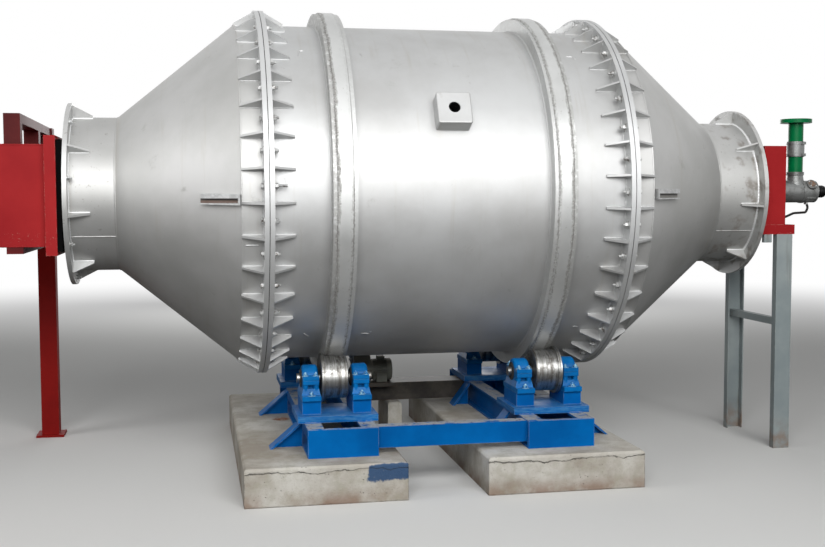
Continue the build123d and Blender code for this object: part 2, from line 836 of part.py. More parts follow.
# Burner on the outer face of its box, with a neck for the air riser and a knob at its end
burner_z = axis_height + burner_rise
burner_end_x = box_outer_x + burner_length
air_x = box_outer_x + air_pipe_offset
neck_top = burner_z + burner_radius + neck_height
with BuildPart() as burner:
    with BuildSketch(Plane.YZ.offset(box_outer_x)):
        with Locations((0, burner_z)):
            Circle(burner_flange_radius)
    extrude(amount=burner_flange_thickness)
    with BuildSketch(Plane.YZ.offset(box_outer_x)):
        with Locations((0, burner_z)):
            Circle(burner_radius)
    extrude(amount=burner_length)
    with BuildSketch(Plane.YZ.offset(burner_end_x)):
        with Locations((0, burner_z)):
            Circle(knob_radius)
    extrude(amount=knob_length)
    with BuildSketch(Plane.XY.offset(burner_z)):
        with Locations((air_x, 0)):
            Circle(neck_lower_radius)
    with BuildSketch(Plane.XY.offset(neck_top)):
        with Locations((air_x, 0)):
            Circle(air_pipe_radius)
    loft()
    with BuildSketch(Plane.XY.offset(neck_top)):
        with Locations((air_x, 0)):
            Circle(neck_collar_radius)
    extrude(amount=-neck_collar_height)
save(burner.part, "burner")

# Air riser: a pipe with a clamped sleeve and a slip-on flange for the blast main
air_top = axis_height + air_pipe_rise
with BuildPart() as air_pipe:
    with BuildSketch(Plane.XY.offset(neck_top)):
        with Locations((air_x, 0)):
            Circle(air_pipe_radius)
            Circle(air_pipe_radius - air_pipe_wall, mode=Mode.SUBTRACT)
    extrude(amount=air_top - neck_top)
save(air_pipe.part, "air_pipe")

with BuildPart() as air_sleeve:
    with BuildSketch(Plane.XY.offset(neck_top + sleeve_lift)):
        with Locations((air_x, 0)):
            Circle(sleeve_radius)
            Circle(air_pipe_radius + weld_gap, mode=Mode.SUBTRACT)
    extrude(amount=sleeve_length)
save(air_sleeve.part, "air_sleeve")

with BuildPart() as air_flange:
    with BuildSketch(Plane.XY.offset(air_top)):
        with Locations((air_x, 0)):
            Circle(air_flange_radius)
            Circle(air_pipe_radius + weld_gap, mode=Mode.SUBTRACT)
            with PolarLocations(air_bolt_circle_radius, air_bolt_count, start_angle=180 / air_bolt_count):
                Circle(air_bolt_radius, mode=Mode.SUBTRACT)
    extrude(amount=-air_flange_thickness)
save(air_flange.part, "air_flange")

# Flue hood: a welded box open towards the throat, with an outlet for the flue at its far end
mouth_x = -(throat_face_x + hood_gap)
hood_end_x = mouth_x - hood_length
hood_z = axis_height - hood_drop
with BuildPart() as flue_hood:
    with BuildSketch(Plane.YZ.offset(mouth_x)):
        with Locations((0, hood_z)):
            Rectangle(2 * hood_half_depth, 2 * hood_half_height)
    extrude(amount=-hood_length)
    with BuildSketch(Plane.YZ.offset(mouth_x)):
        with Locations((0, hood_z)):
            Rectangle(2 * (hood_half_depth - hood_wall), 2 * (hood_half_height - hood_wall))
    extrude(amount=hood_wall - hood_length, mode=Mode.SUBTRACT)
    with BuildSketch(Plane.YZ.offset(hood_end_x)):
        with Locations((0, hood_z)):
            Circle(outlet_radius)
    extrude(amount=hood_wall, mode=Mode.SUBTRACT)
save(flue_hood.part, "flue_hood")

with BuildPart() as hood_frame:
    with BuildSketch(Plane.YZ.offset(mouth_x)):
        with Locations((0, hood_z)):
            Rectangle(2 * (hood_half_depth + hood_frame_step), 2 * (hood_half_height + hood_frame_step))
            Rectangle(2 * (hood_half_depth + weld_gap), 2 * (hood_half_height + weld_gap), mode=Mode.SUBTRACT)
    extrude(amount=-hood_frame_width)
save(hood_frame.part, "hood_frame")

seal_half_depth = hood_half_depth + hood_frame_step - seal_inset
seal_half_height = hood_half_height + hood_frame_step - seal_inset
with BuildPart() as hood_seal:
    with BuildSketch(Plane.YZ.offset(mouth_x)):
        with Locations((0, hood_z)):
            Rectangle(2 * seal_half_depth, 2 * seal_half_height)
        with Locations((0, axis_height)):
            Circle(seal_port_radius, mode=Mode.SUBTRACT)
    extrude(amount=seal_thickness)
save(hood_seal.part, "hood_seal")

with BuildPart() as flue_outlet:
    with BuildSketch(Plane.YZ.offset(hood_end_x)):
        with Locations((0, hood_z)):
            Circle(outlet_flange_radius)
            Circle(outlet_radius, mode=Mode.SUBTRACT)
            first_bolt = 180 / outlet_bolt_count
            with PolarLocations(outlet_bolt_circle_radius, outlet_bolt_count, start_angle=first_bolt):
                Circle(outlet_bolt_radius, mode=Mode.SUBTRACT)
    extrude(amount=-outlet_flange_thickness)
save(flue_outlet.part, "flue_outlet")

# Swing frame: a column behind the hood, an arm over the hood on two hangers, and an arm under it
jib_x = mouth_x - jib_offset
hood_top = hood_z + hood_half_height
hood_bottom = hood_z - hood_half_height
jib_top = hood_top + jib_rise
column_y = hood_half_depth + column_setback
column_face_y = column_y - column_width / 2
with BuildPart() as hood_column:
    with BuildSketch(Plane.XY):
        with Locations((jib_x, column_y)):
            Rectangle(column_foot_width, column_foot_width)
    extrude(amount=column_foot_thickness)
    with BuildSketch(Plane.XY):
        with Locations((jib_x, column_y)):
            Rectangle(column_width, column_width)
    extrude(amount=jib_top)
save(hood_column.part, "hood_column")

with BuildPart() as hood_jib:
    with BuildSketch(Plane.XZ.offset(hood_half_depth)):
        with Locations((jib_x, jib_top - jib_arm_height / 2)):
            Rectangle(jib_width, jib_arm_height)
        with Locations((jib_x, hood_bottom - lower_arm_height / 2)):
            Rectangle(jib_width, lower_arm_height)
    extrude(amount=-hood_half_depth - column_face_y)
    with BuildSketch(Plane.XY.offset(hood_top)):
        hanger_y = hood_half_depth - hanger_depth / 2
        with Locations((jib_x, -hanger_y), (jib_x, hanger_y)):
            Rectangle(jib_width, hanger_depth)
    extrude(amount=jib_rise - jib_arm_height)
save(hood_jib.part, "hood_jib")
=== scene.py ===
import bmesh
import bpy
from math import cos, pi, radians, sin, sqrt
from mathutils import Matrix, Vector
from mathutils.noise import noise as ripple


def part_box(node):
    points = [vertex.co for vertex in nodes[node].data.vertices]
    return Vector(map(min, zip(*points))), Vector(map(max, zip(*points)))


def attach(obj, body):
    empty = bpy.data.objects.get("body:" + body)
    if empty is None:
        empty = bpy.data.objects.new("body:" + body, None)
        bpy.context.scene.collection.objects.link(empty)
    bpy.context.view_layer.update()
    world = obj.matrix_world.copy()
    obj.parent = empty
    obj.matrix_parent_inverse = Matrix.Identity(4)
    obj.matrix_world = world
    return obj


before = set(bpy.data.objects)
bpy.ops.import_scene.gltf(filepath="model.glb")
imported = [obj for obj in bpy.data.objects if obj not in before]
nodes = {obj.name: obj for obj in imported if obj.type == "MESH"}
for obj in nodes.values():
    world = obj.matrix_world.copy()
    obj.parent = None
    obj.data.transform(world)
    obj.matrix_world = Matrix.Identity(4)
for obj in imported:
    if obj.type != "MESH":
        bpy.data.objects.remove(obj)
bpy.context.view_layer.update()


# Plinths and pier: poured concrete blocks, trowelled on top, with chipped edges and site dust.
# A worn wavy line runs under the front edges, and blue overspray marks the left plinth.


class Signal:
    """One output of a shader node. Arithmetic on it adds the Math nodes that work it out."""

    def __init__(self, finish, socket):
        self.finish = finish
        self.socket = socket

    def maths(self, operation, *terms):
        return self.finish.node("Math", {"operation": operation}, dict(enumerate(terms)))

    def __add__(self, other):
        return self.maths("ADD", self, other)

    def __sub__(self, other):
        return self.maths("SUBTRACT", self, other)

    def __rsub__(self, other):
        return self.maths("SUBTRACT", other, self)

    def __mul__(self, other):
        return self.maths("MULTIPLY", self, other)

    __radd__ = __add__
    __rmul__ = __mul__

    def size(self):
        return self.maths("ABSOLUTE", self)

    def either(self, other):
        """The larger of two masks."""
        return self.maths("MAXIMUM", self, other)

    def ramp(self, low, high):
        """0 below low and 1 above high, turning smoothly between; low over high turns it round."""
        limits = {"Value": self, "From Min": low, "From Max": high}
        return self.finish.node("MapRange", {"interpolation_type": "SMOOTHSTEP"}, limits)

    def part(self, axis):
        return self.finish.node("SeparateXYZ", {}, {"Vector": self}, axis)


class Finish:
    """One surface finish, as a node material on the Principled shader, or the world's nodes."""

    def __init__(self, name, world=None):
        self.material = world or bpy.data.materials.new(name)
        self.material.use_nodes = True
        self.tree = self.material.node_tree
        self.shader = self.tree.nodes.get("Principled BSDF")
        self.place = self.node("TexCoord", {}, {}, "Object")

    def node(self, kind, settings, sockets, output=0):
        made = self.tree.nodes.new("ShaderNode" + kind)
        for key, value in settings.items():
            setattr(made, key, value)
        for key, value in sockets.items():
            self.feed(self.find(made.inputs, key), value)
        return Signal(self, self.find(made.outputs, output))

    def find(self, sockets, key):
        if isinstance(key, int):
            return sockets[key]
        return next(s for s in sockets if s.name == key and s.enabled)

    def feed(self, socket, value):
        if isinstance(value, Signal):
            self.tree.links.new(value.socket, socket)
        else:
            socket.default_value = value

    def grain(self, scale, detail=4.0, roughness=0.55, at=None):
        sockets = {"Vector": at or self.place, "Scale": scale, "Detail": detail}
        return self.node("TexNoise", {}, sockets | {"Roughness": roughness}, "Fac")

    def streaks(self, x, y, z, detail, roughness):
        """Noise with a scale of its own along each axis."""
        at = self.node("VectorMath", {"operation": "MULTIPLY"}, {0: self.place, 1: (x, y, z)})
        return self.grain(1.0, detail, roughness, at)

    def cells(self, scale):
        return self.node("TexVoronoi", {}, {"Vector": self.place, "Scale": scale}, "Distance")

    def blend(self, first, second, mask):
        sockets = {"Factor": mask, "A": first, "B": second}
        return self.node("Mix", {"data_type": "RGBA"}, sockets, "Result")

    def layers(self, colour, *coats):
        """The colour with each coat's own colour laid over it through the coat's mask."""
        for over, mask in coats:
            colour = self.blend(colour, over, mask)
        return colour

    def seen(self):
        """1 for rays from the camera, straight or by way of a mirror or glass."""
        kinds = ("Is Camera Ray", "Is Glossy Ray", "Is Transmission Ray")
        camera, glossy, through = (self.node("LightPath", {}, {}, kind) for kind in kinds)
        return camera.either(glossy.either(through))

    def facing(self, axis):
        return self.node("NewGeometry", {}, {}, "Normal").part(axis)

    def edges(self, width):
        """0 on a flat face, rising to 1 on the edges that are within this width of a point."""
        rounded = self.node("Bevel", {"samples": 6}, {"Radius": width})
        flat = self.node("NewGeometry", {}, {}, "Normal")
        pair = {0: rounded, 1: flat}
        alike = self.node("VectorMath", {"operation": "DOT_PRODUCT"}, pair, "Value")
        return (1 - alike).ramp(0.02, 0.2)

    def surface(self, height=None, depth=0.001, rounding=None, **values):
        """Sets the shader's sockets by name, a bump of this depth in metres, and softened edges."""
        for key, value in values.items():
            self.feed(self.shader.inputs[key.replace("_", " ")], value)
        if height:
            relief = {"Height": height, "Distance": depth}
            if rounding:
                relief["Normal"] = self.node("Bevel", {"samples": 6}, {"Radius": rounding})
            self.feed(self.shader.inputs["Normal"], self.node("Bump", {}, relief))


def card(red, green, blue):
    """A colour from a paint card, 0 to 255 a channel, as the shader takes it."""
    channels = [v / 255 for v in (red, green, blue)]
    return tuple(v / 12.92 if v < 0.04 else ((v + 0.055) / 1.055) ** 2.4 for v in channels) + (1.0,)


def coat(finish, *names):
    """Gives these CAD nodes one finish."""
    for name in names:
        nodes[name].data.materials.clear()
        nodes[name].data.materials.append(finish)


plinth_low, plinth_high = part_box("plinth_left")

concrete = Finish("cast_concrete")
here_x, here_y, here_z = (concrete.place.part(axis) for axis in "XYZ")
mottle = concrete.grain(2.6, 6.0, 0.62)
grit = concrete.grain(120.0, 3.0, 0.7)
pores = concrete.cells(46.0).ramp(0.16, 0.05) * concrete.grain(7.0).ramp(0.5, 0.62)
damp = here_z.ramp(0.10, 0.0) * concrete.grain(5.0).ramp(0.35, 0.6)
chips = concrete.edges(0.02) * concrete.grain(16.0).ramp(0.42, 0.58)
front = here_y.ramp(plinth_low.y + 0.016, plinth_low.y + 0.010)
slow_wave = concrete.streaks(3.1, 0.0, 0.0, 5.0, 0.7) - 0.5
quick_wave = concrete.streaks(34.0, 34.0, 34.0, 4.0, 0.8) - 0.5
line_z = plinth_high.z - 0.030
below_top = here_z + slow_wave * 0.10 + quick_wave * 0.022 - line_z
crumbled = below_top.size().ramp(0.0055, 0.0005) * front
crumbled = crumbled * concrete.grain(11.0, 4.0, 0.7).ramp(0.42, 0.6)
skim = below_top.ramp(-0.002, 0.003) * front
wobble = concrete.grain(38.0, 5.0, 0.7) * 0.05 + concrete.grain(11.0, 3.0, 0.6) * 0.07 - 0.06
spray_start = plinth_high.x - 0.222
spray = (here_x + wobble).ramp(spray_start, spray_start + 0.015) * here_x.ramp(0.0, -0.1)
spray = spray * (here_z + wobble).ramp(0.106, 0.122) * (here_z - wobble * 0.4).ramp(0.205, 0.196)
spray = spray * concrete.grain(60.0, 4.0, 0.7).ramp(0.2, 0.36) * front
brace_x = plinth_high.x - 0.573
brace_y = 0.16
rust_x = here_x - brace_x
rust_y = here_y - brace_y
rust = (rust_x * rust_x + rust_y * rust_y).ramp(0.0045, 0.0008)
rust = rust * concrete.grain(45.0).ramp(0.36, 0.52)
blotch = concrete.grain(13.0, 5.0, 0.7).ramp(0.44, 0.7)
crumbled = crumbled * (1 - spray * 0.8)
colour = concrete.layers(
    card(158, 149, 136),
    (card(206, 203, 195), mottle.ramp(0.34, 0.66)),
    (card(170, 166, 150), blotch * 0.6),
    (card(132, 124, 113), grit.ramp(0.55, 0.8) * 0.5),
    (card(204, 201, 193), (chips * 0.7).either(skim * 0.35)),
    (card(126, 88, 62), damp * 0.65),
    (card(64, 58, 52), pores * 0.8),
    (card(8, 66, 110), spray * 0.92),
    (card(150, 88, 44), rust * 0.9),
    (card(112, 107, 98), crumbled * 0.6),
)
relief = mottle * 0.5 + grit * 0.45 - pores - crumbled * 1.2 + skim * 0.6 - chips * grit * 2.0
concrete.surface(relief, 0.006, rounding=0.014, Base_Color=colour, Roughness=0.92)
coat(concrete.material, "plinth_left", "plinth_right", "drive_pier")


# Base frames: I-beams, end plates and gusset braces cut from plate, welded up and brushed blue.
# The top flanges are trodden bare, and the plate edges are worn to pale steel and rust.
brushed = Finish("brushed_blue_paint")
bare = brushed.edges(0.008) * brushed.grain(22.0, 5.0, 0.7).ramp(0.36, 0.56)
frame_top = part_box("base_frame_left")[1].z
over_top = (brushed.place.part("Z") - frame_top).size()
trodden = brushed.facing("Z").ramp(0.7, 0.95) * over_top.ramp(0.009, 0.005)
trodden = trodden * brushed.grain(11.0, 6.0, 0.7).ramp(0.36, 0.5)
rust = brushed.grain(38.0, 5.0, 0.7).ramp(0.56, 0.66)
dust = brushed.facing("Z").ramp(0.3, 0.9) * brushed.grain(5.0, 4.0, 0.6).ramp(0.3, 0.75)
strokes = brushed.streaks(9.0, 9.0, 130.0, 3.0, 0.6)
tone = brushed.grain(3.4, 4.0, 0.6)
worn = brushed.blend(card(170, 172, 170), card(120, 74, 46), rust)
sole_z = frame_top + 0.024
sole_edge = (brushed.place.part("Z") - sole_z).size().ramp(0.020, 0.010)
sole_edge = sole_edge * brushed.streaks(14.0, 14.0, 90.0, 5.0, 0.7).ramp(0.3, 0.75)
scuffs = trodden.either(bare * 0.4)
colour = brushed.layers(
    card(0, 84, 152),
    (card(0, 102, 176), tone.ramp(0.3, 0.7)),
    (card(70, 118, 148), dust * 0.10),
    (card(104, 158, 192), sole_edge * 0.5),
    (worn, scuffs * 0.85),
)
brushed.surface(
    strokes * 0.25 - scuffs * 0.7,
    0.0007,
    Base_Color=colour,
    Roughness=0.38 + dust * 0.3 + scuffs * 0.25,
    Specular_IOR_Level=0.06,
)
coat(brushed.material, "front_tie_beam")
for side in ("left", "right"):
    coat(brushed.material, "base_frame_" + side, "frame_braces_" + side, "roller_seats_" + side)


def turned(mesh, outline, place, sides=40, turn=0.0):
    """Adds a turned solid: the outline is (radius, height) points about the place's Z."""
    rings = []
    for radius, height in outline:
        if radius < 1e-6:
            rings.append([mesh.verts.new(place @ Vector((0, 0, height)))] * sides)
            continue
        angles = [turn + 2 * pi * k / sides for k in range(sides)]
        spots = [Vector((radius * cos(a), radius * sin(a), height)) for a in angles]
        rings.append([mesh.verts.new(place @ spot) for spot in spots])
    for low, high in zip(rings, rings[1:]):
        for k in range(sides):
            corners = [low[k], low[(k + 1) % sides], high[(k + 1) % sides], high[k]]
            unique = [v for i, v in enumerate(corners) if v not in corners[:i]]
            if len(unique) > 2:
                mesh.faces.new(unique)


def bead(mesh, path, normals, size, closed=False, seed=0.0):
    """Adds a weld bead of this width and height: a low rippled ridge that follows the path."""
    width, height = size
    rows = []
    count = len(path)
    for i, (spot, out) in enumerate(zip(path, normals)):
        ahead = path[(i + 1) % count] if closed or i + 1 < count else spot
        behind = path[i - 1] if closed or i > 0 else spot
        across = (ahead - behind).cross(out).normalized()
        wave = 1 + 0.22 * sin(i * 2.1) + 0.35 * ripple(spot * 23 + Vector((seed, 0, 0)))
        tip = 1.0 if closed else min(1.0, 0.45 + 0.4 * min(i, count - 1 - i))
        row = []
        for angle in (0, 50, 90, 130, 180):
            side = across * (width / 2 * cos(radians(angle)) * (0.85 + 0.15 * wave))
            rise = out * (height * sin(radians(angle)) * wave)
            row.append(mesh.verts.new(spot + (side + rise) * tip))
        rows.append(row)
    for i in range(count if closed else count - 1):
        low, high = rows[i], rows[(i + 1) % count]
        for k in range(4):
            mesh.faces.new((low[k], low[k + 1], high[k + 1], high[k]))


def straight_bead(mesh, start, end, out, size, seed=0.0, step=0.006):
    """Adds a bead along a straight line, with a ripple about every step."""
    start, end = Vector(start), Vector(end)
    count = max(3, int((end - start).length / step))
    path = [start.lerp(end, k / count) for k in range(count + 1)]
    bead(mesh, path, [Vector(out).normalized()] * len(path), size, seed=seed)


def fitted(name, mesh, finish, body, smooth=35.0):
    """Makes a piece of the mesh, with its finish, on the body that it moves with."""
    bmesh.ops.recalc_face_normals(mesh, faces=mesh.faces)
    data = bpy.data.meshes.new(name)
    mesh.to_mesh(data)
    mesh.free()
    data.materials.append(finish)
    data.shade_smooth()
    data.set_sharp_from_angle(angle=radians(smooth))
    made = bpy.data.objects.new(name, data)
    bpy.context.scene.collection.objects.link(made)
    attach(made, body)


def aim(spot, axis):
    """A place at the spot, with its Z along the axis."""
    facing = Vector(axis).to_track_quat("Z", "Y").to_matrix().to_4x4()
    return Matrix.Translation(Vector(spot)) @ facing


end_plate = 0.015
sole_depth = 0.38
sole_weld_length = 0.09
plate_weld = (0.010, 0.003)
tie_weld = (0.010, 0.004)
sole_weld = (0.012, 0.005)
tie_low, tie_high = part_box("front_tie_beam")
hands = (("left", -1), ("right", 1))
frame_welds = bmesh.new()
for side, hand in hands:
    low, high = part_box("base_frame_" + side)
    inner_x = low.x if hand > 0 else high.x
    plate_backs = (low.y + end_plate, high.y - end_plate)
    for x, out in ((low.x, -1), (high.x, 1)):
        for y, face in zip(plate_backs, (low.y, high.y)):
            ends = (x, y, low.z), (x, y, high.z)
            straight_bead(frame_welds, *ends, (out, 0, 0), plate_weld, x + face)
    for y in plate_backs:
        ends = (low.x, y, high.z), (high.x, y, high.z)
        straight_bead(frame_welds, *ends, (0, 0, 1), plate_weld, y)
    for z, up in ((tie_low.z, -1), (tie_high.z, 1)):
        ends = (inner_x, tie_low.y, z), (inner_x, tie_high.y, z)
        straight_bead(frame_welds, *ends, (-hand, 0, up), tie_weld, z)
    ends = (inner_x, tie_low.y, tie_low.z), (inner_x, tie_low.y, tie_high.z)
    straight_bead(frame_welds, *ends, (-hand, -1, 0), tie_weld)
    sole_low, sole_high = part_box("roller_seats_" + side)
    for start in (sole_low.y, sole_high.y - sole_depth):
        for y, out in ((start, -1), (start + sole_depth, 1)):
            for x, seed in ((low.x, y), (high.x - sole_weld_length, y + 3)):
                ends = (x, y, high.z), (x + sole_weld_length, y, high.z)
                straight_bead(frame_welds, *ends, (0, out, 1), sole_weld, seed)
fitted("frame_welds", frame_welds, brushed.material, "base", 60.0)

# The rear tie beam and the drive plate are painted near black, as painted shade for the shadow
# under the drum. Chalky dust and rubbed rusty edges are laid over it.
shade_dark_paint = Finish("shade_dark_paint")
chalk = shade_dark_paint.grain(6.0, 5.0, 0.6)
rub = shade_dark_paint.edges(0.006) * shade_dark_paint.grain(25.0).ramp(0.4, 0.6)
colour = shade_dark_paint.layers(
    card(52, 50, 48),
    (card(84, 79, 73), chalk.ramp(0.35, 0.7)),
    (card(118, 84, 60), rub * 0.7),
)
shade_dark_paint.surface(chalk, 0.0006, Base_Color=colour, Roughness=0.6, Specular_IOR_Level=0.15)
coat(shade_dark_paint.material, "rear_tie_beam", "drive_plate")


# Pillow blocks: split iron castings on the pedestals, sand-cast skin under thick blue paint.
# Each cap is held by four bolts through bossed ears, and the foot by one bolt at each end.
cast_blue = Finish("cast_iron_blue_paint")
skin = cast_blue.grain(160.0, 3.0, 0.6)
bare = cast_blue.edges(0.006) * cast_blue.grain(40.0, 5.0, 0.7).ramp(0.42, 0.6)
dust = cast_blue.facing("Z").ramp(0.2, 0.9) * cast_blue.grain(14.0).ramp(0.35, 0.7)
tone = cast_blue.grain(9.0)
colour = cast_blue.layers(
    card(0, 90, 154),
    (card(0, 110, 180), tone.ramp(0.3, 0.7)),
    (card(70, 122, 152), dust * 0.1),
    (card(96, 150, 184), bare * 0.3),
)
cast_blue.surface(
    skin + bare * 0.5,
    0.0008,
    rounding=0.004,
    Base_Color=colour,
    Roughness=0.3 + dust * 0.25,
    Specular_IOR_Level=0.16,
)
for side in ("left", "right"):
    coat(cast_blue.material, "bearing_bases_" + side, "bearing_caps_" + side)

zinc = Finish("zinc_plated_bolts")
dulled = zinc.grain(90.0, 4.0, 0.6)
colour = zinc.blend(card(212, 214, 214), card(146, 144, 138), dulled.ramp(0.42, 0.7))
zinc.surface(dulled, 0.0002, Base_Color=colour, Metallic=0.75, Roughness=0.34)

thread_pitch = 0.003
block_pitch = 0.030
half_block = 0.045
half_foot = 0.053
foot_thickness = 0.028
ear_reach = 0.095
bolt_top = 0.024
foot_bolt_reach = 0.132


def bolt(mesh, place, flats, head, shank=0.0, washer=True, turn=0.0):
    """Adds a hexagon head on a washer, with the end of its thread if it is a nut."""
    base = 0.0
    if washer:
        base = flats * 0.1
        rim = flats * 0.98
        turned(mesh, [(0, 0), (rim, 0), (rim, base), (0, base)], place, 20)
    corner = flats / sqrt(3)
    top = base + head
    chamfer = [(corner, base + head * 0.84), (corner * 0.86, top)]
    turned(mesh, [(0, base), (corner, base), *chamfer, (0, top)], place, 6, turn)
    if shank:
        thread = flats * 0.31
        ridges = [(0, top)]
        for k in range(int(shank / thread_pitch)):
            crest = top + thread_pitch * k
            ridges += [(thread, crest), (thread * 0.9, crest + thread_pitch / 2)]
        ridges += [(thread * 0.8, top + shank), (0, top + shank)]
        turned(mesh, ridges, place, 14)


cap_bolts = bmesh.new()
foot_bolts = bmesh.new()
seals = bmesh.new()
for side in ("left", "right"):
    base_low, base_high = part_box("bearing_bases_" + side)
    roller_low, roller_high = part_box("front_roller_" + side)
    shaft_z = (roller_low.z + roller_high.z) / 2
    shaft_y = -(roller_low.y + roller_high.y) / 2
    foot_z = base_low.z + foot_thickness
    for x in (base_low.x + half_foot, base_high.x - half_foot):
        for y in (-shaft_y, shaft_y):
            for end in (-1, 1):
                for dx in (-block_pitch, block_pitch):
                    spot = (x + dx, y + end * ear_reach, shaft_z + bolt_top)
                    bolt(cap_bolts, aim(spot, (0, 0, 1)), 0.020, 0.012, 0.007, turn=dx * 30)
                spot = (x, y + end * foot_bolt_reach, foot_z)
                bolt(foot_bolts, aim(spot, (0, 0, 1)), 0.024, 0.013, 0.009, turn=end * 0.4)
            for face in (-1, 1):
                ring = aim((x + face * half_block, y, shaft_z), (face, 0, 0))
                lip = [(0.052, 0.004), (0.047, 0.007), (0.031, 0.007), (0.0285, 0.004)]
                turned(seals, [(0.028, 0), (0.052, 0), *lip], ring, 40)

# Cap and foot bolts in blue paint, with pale flecks painted on as highlights for their glints.
glint_blue = Finish("blue_bolts_painted_glint")
glint = glint_blue.grain(70.0, 4.0, 0.6)
colour = glint_blue.blend(card(0, 104, 170), card(150, 192, 208), glint.ramp(0.42, 0.56))
glint_blue.surface(glint, 0.0004, Base_Color=colour, Metallic=0.2, Roughness=0.3)
fitted("cap_bolts", cap_bolts, glint_blue.material, "base")
fitted("foot_bolts", foot_bolts, glint_blue.material, "base")

felt = Finish("felt_seals")
felt.surface(felt.grain(220.0), 0.0006, Base_Color=card(40, 38, 36), Roughness=0.85)
fitted("shaft_seals", seals, felt.material, "base")


# Support rollers: forged steel turned on their shafts, rolled bright on the tread by the rings.
# The tread carries fine turning marks, and grease and dust dull it in patches.
bright = Finish("turned_roller_steel")
lathe = bright.streaks(420.0, 2.0, 2.0, 2.0, 0.5)
bands = bright.streaks(75.0, 3.0, 3.0, 3.0, 0.6)
smear = bright.streaks(26.0, 11.0, 11.0, 5.0, 0.65)
blotch = bright.grain(24.0, 6.0, 0.7)
grease = smear.ramp(0.47, 0.66).either(blotch.ramp(0.5, 0.66) * 0.8)
colour = bright.layers(
    card(176, 177, 176),
    (card(108, 105, 100), bands.ramp(0.35, 0.7)),
    (card(58, 50, 42), grease * 0.75),
)
bright.surface(
    lathe * 0.5 + bands * 0.4 + blotch * 0.4,
    0.0006,
    Base_Color=colour,
    Metallic=0.9,
    Roughness=bands * 0.25 + grease * 0.22 + 0.2,
)
rollers = ["front_roller_left", "front_roller_right", "rear_roller_left", "rear_roller_right"]
coat(bright.material, *rollers, "drive_shaft")


# Drive: a chain case on the rear shaft and a foot-mounted motor, on a plate over the rear tie.
# Both are grey castings; the motor has cooling fins, a fan cowl and a lidded terminal box.
iron = Finish("grey_machine_paint")
film = iron.grain(7.0, 5.0, 0.6)
bare = iron.edges(0.005) * iron.grain(30.0).ramp(0.45, 0.6)
dust = iron.facing("Z").ramp(0.2, 0.9) * film.ramp(0.3, 0.7)
colour = iron.layers(
    card(104, 106, 98),
    (card(124, 125, 116), film.ramp(0.3, 0.7)),
    (card(140, 124, 104), dust * 0.5),
    (card(74, 58, 46), bare * 0.6),
)
iron.surface(
    iron.grain(180.0),
    0.0005,
    rounding=0.004,
    Base_Color=colour,
    Roughness=0.48,
    Specular_IOR_Level=0.2,
)
coat(iron.material, "chain_case", "motor")

motor_low, motor_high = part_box("motor")
case_low, case_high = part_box("chain_case")
motor_y = (motor_low.y + motor_high.y) / 2
motor_r = (motor_high.y - motor_low.y) / 2
motor_z = case_low.z + 0.075
fin_count = 40
fin_height = 0.010
half_fin = 0.0015
fin_start = motor_low.x + 0.012
finless_band = 0.45
cowl_x = motor_high.x - 0.035
cowl_r = motor_r + 0.009
motor_fins = bmesh.new()
for k in range(fin_count):
    angle = 2 * pi * k / fin_count
    out = Vector((0, cos(angle), sin(angle)))
    if abs(out.y) < finless_band:
        continue
    across = Vector((0, -out.z, out.y)) * half_fin
    root = Vector((0, motor_y, motor_z)) + out * (motor_r - 0.002)
    tip = Vector((0, motor_y, motor_z)) + out * (motor_r + fin_height)
    section = [root - across, root + across, tip + across * 0.7, tip - across * 0.7]
    corners = [(x, p.y, p.z) for x in (fin_start, cowl_x) for p in section]
    made = [motor_fins.verts.new(corner) for corner in corners]
    motor_fins.faces.new(made[:4])
    motor_fins.faces.new(made[:3:-1])
    for a, b in ((0, 1), (1, 2), (2, 3), (3, 0)):
        motor_fins.faces.new((made[a], made[a + 4], made[b + 4], made[b]))
cowl_wall = [(motor_r + 0.004, 0), (cowl_r, 0), (cowl_r, 0.030), (motor_r + 0.002, 0.036)]
cowl_end = [(0.018, 0.038), (0.014, 0.036), (0, 0.036)]
turned(motor_fins, cowl_wall + cowl_end, aim((cowl_x, motor_y, motor_z), (1, 0, 0)), 48)
fitted("motor_fins", motor_fins, iron.material, "base")

case_bolt_count = 8
case_bolt_r = 0.083
lid_bolt_reach = 0.019
case_bolts = bmesh.new()
shaft_low, shaft_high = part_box("drive_shaft")
shaft_y = (shaft_low.y + shaft_high.y) / 2
shaft_z = (shaft_low.z + shaft_high.z) / 2
for x, out in ((case_low.x, -1), (case_high.x, 1)):
    for k in range(case_bolt_count):
        angle = 2 * pi * k / case_bolt_count + 0.3
        spot = (x, shaft_y + case_bolt_r * cos(angle), shaft_z + case_bolt_r * sin(angle))
        bolt(case_bolts, aim(spot, (out, 0, 0)), 0.013, 0.008, turn=k)
    ring = aim((x, shaft_y, shaft_z), (out, 0, 0))
    lip = [(0.062, 0.008), (0.056, 0.012), (0.034, 0.012), (0.029, 0.008)]
    turned(case_bolts, [(0.029, 0), (0.062, 0), *lip], ring, 40)
lid = (motor_low.x + motor_high.x) / 2
for dx in (-lid_bolt_reach, lid_bolt_reach):
    for dy in (-lid_bolt_reach, lid_bolt_reach):
        spot = (lid + dx, motor_y + dy, motor_high.z)
        bolt(case_bolts, aim(spot, (0, 0, 1)), 0.007, 0.004, washer=False)
fitted("case_bolts", case_bolts, zinc.material, "base")


# Drum shell: rolled plate, welded and coated with sprayed aluminium paint that shines broadly.
# Short weld scars beside the rings and on a belt show where lifting cleats were cut away.
shell_low, shell_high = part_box("drum_shell")
axis_z = (shell_low.z + shell_high.z) / 2
shell_r = (shell_high.z - shell_low.z) / 2
half_shell = shell_high.x
ring_x = sum(corner.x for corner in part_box("riding_ring_right")) / 2


def spot_on_drum(x, angle, radius):
    """A point at this angle above the front of the drum, and the way that faces out there."""
    out = Vector((0, -cos(radians(angle)), sin(radians(angle))))
    return Vector((x, 0, axis_z)) + out * radius, out


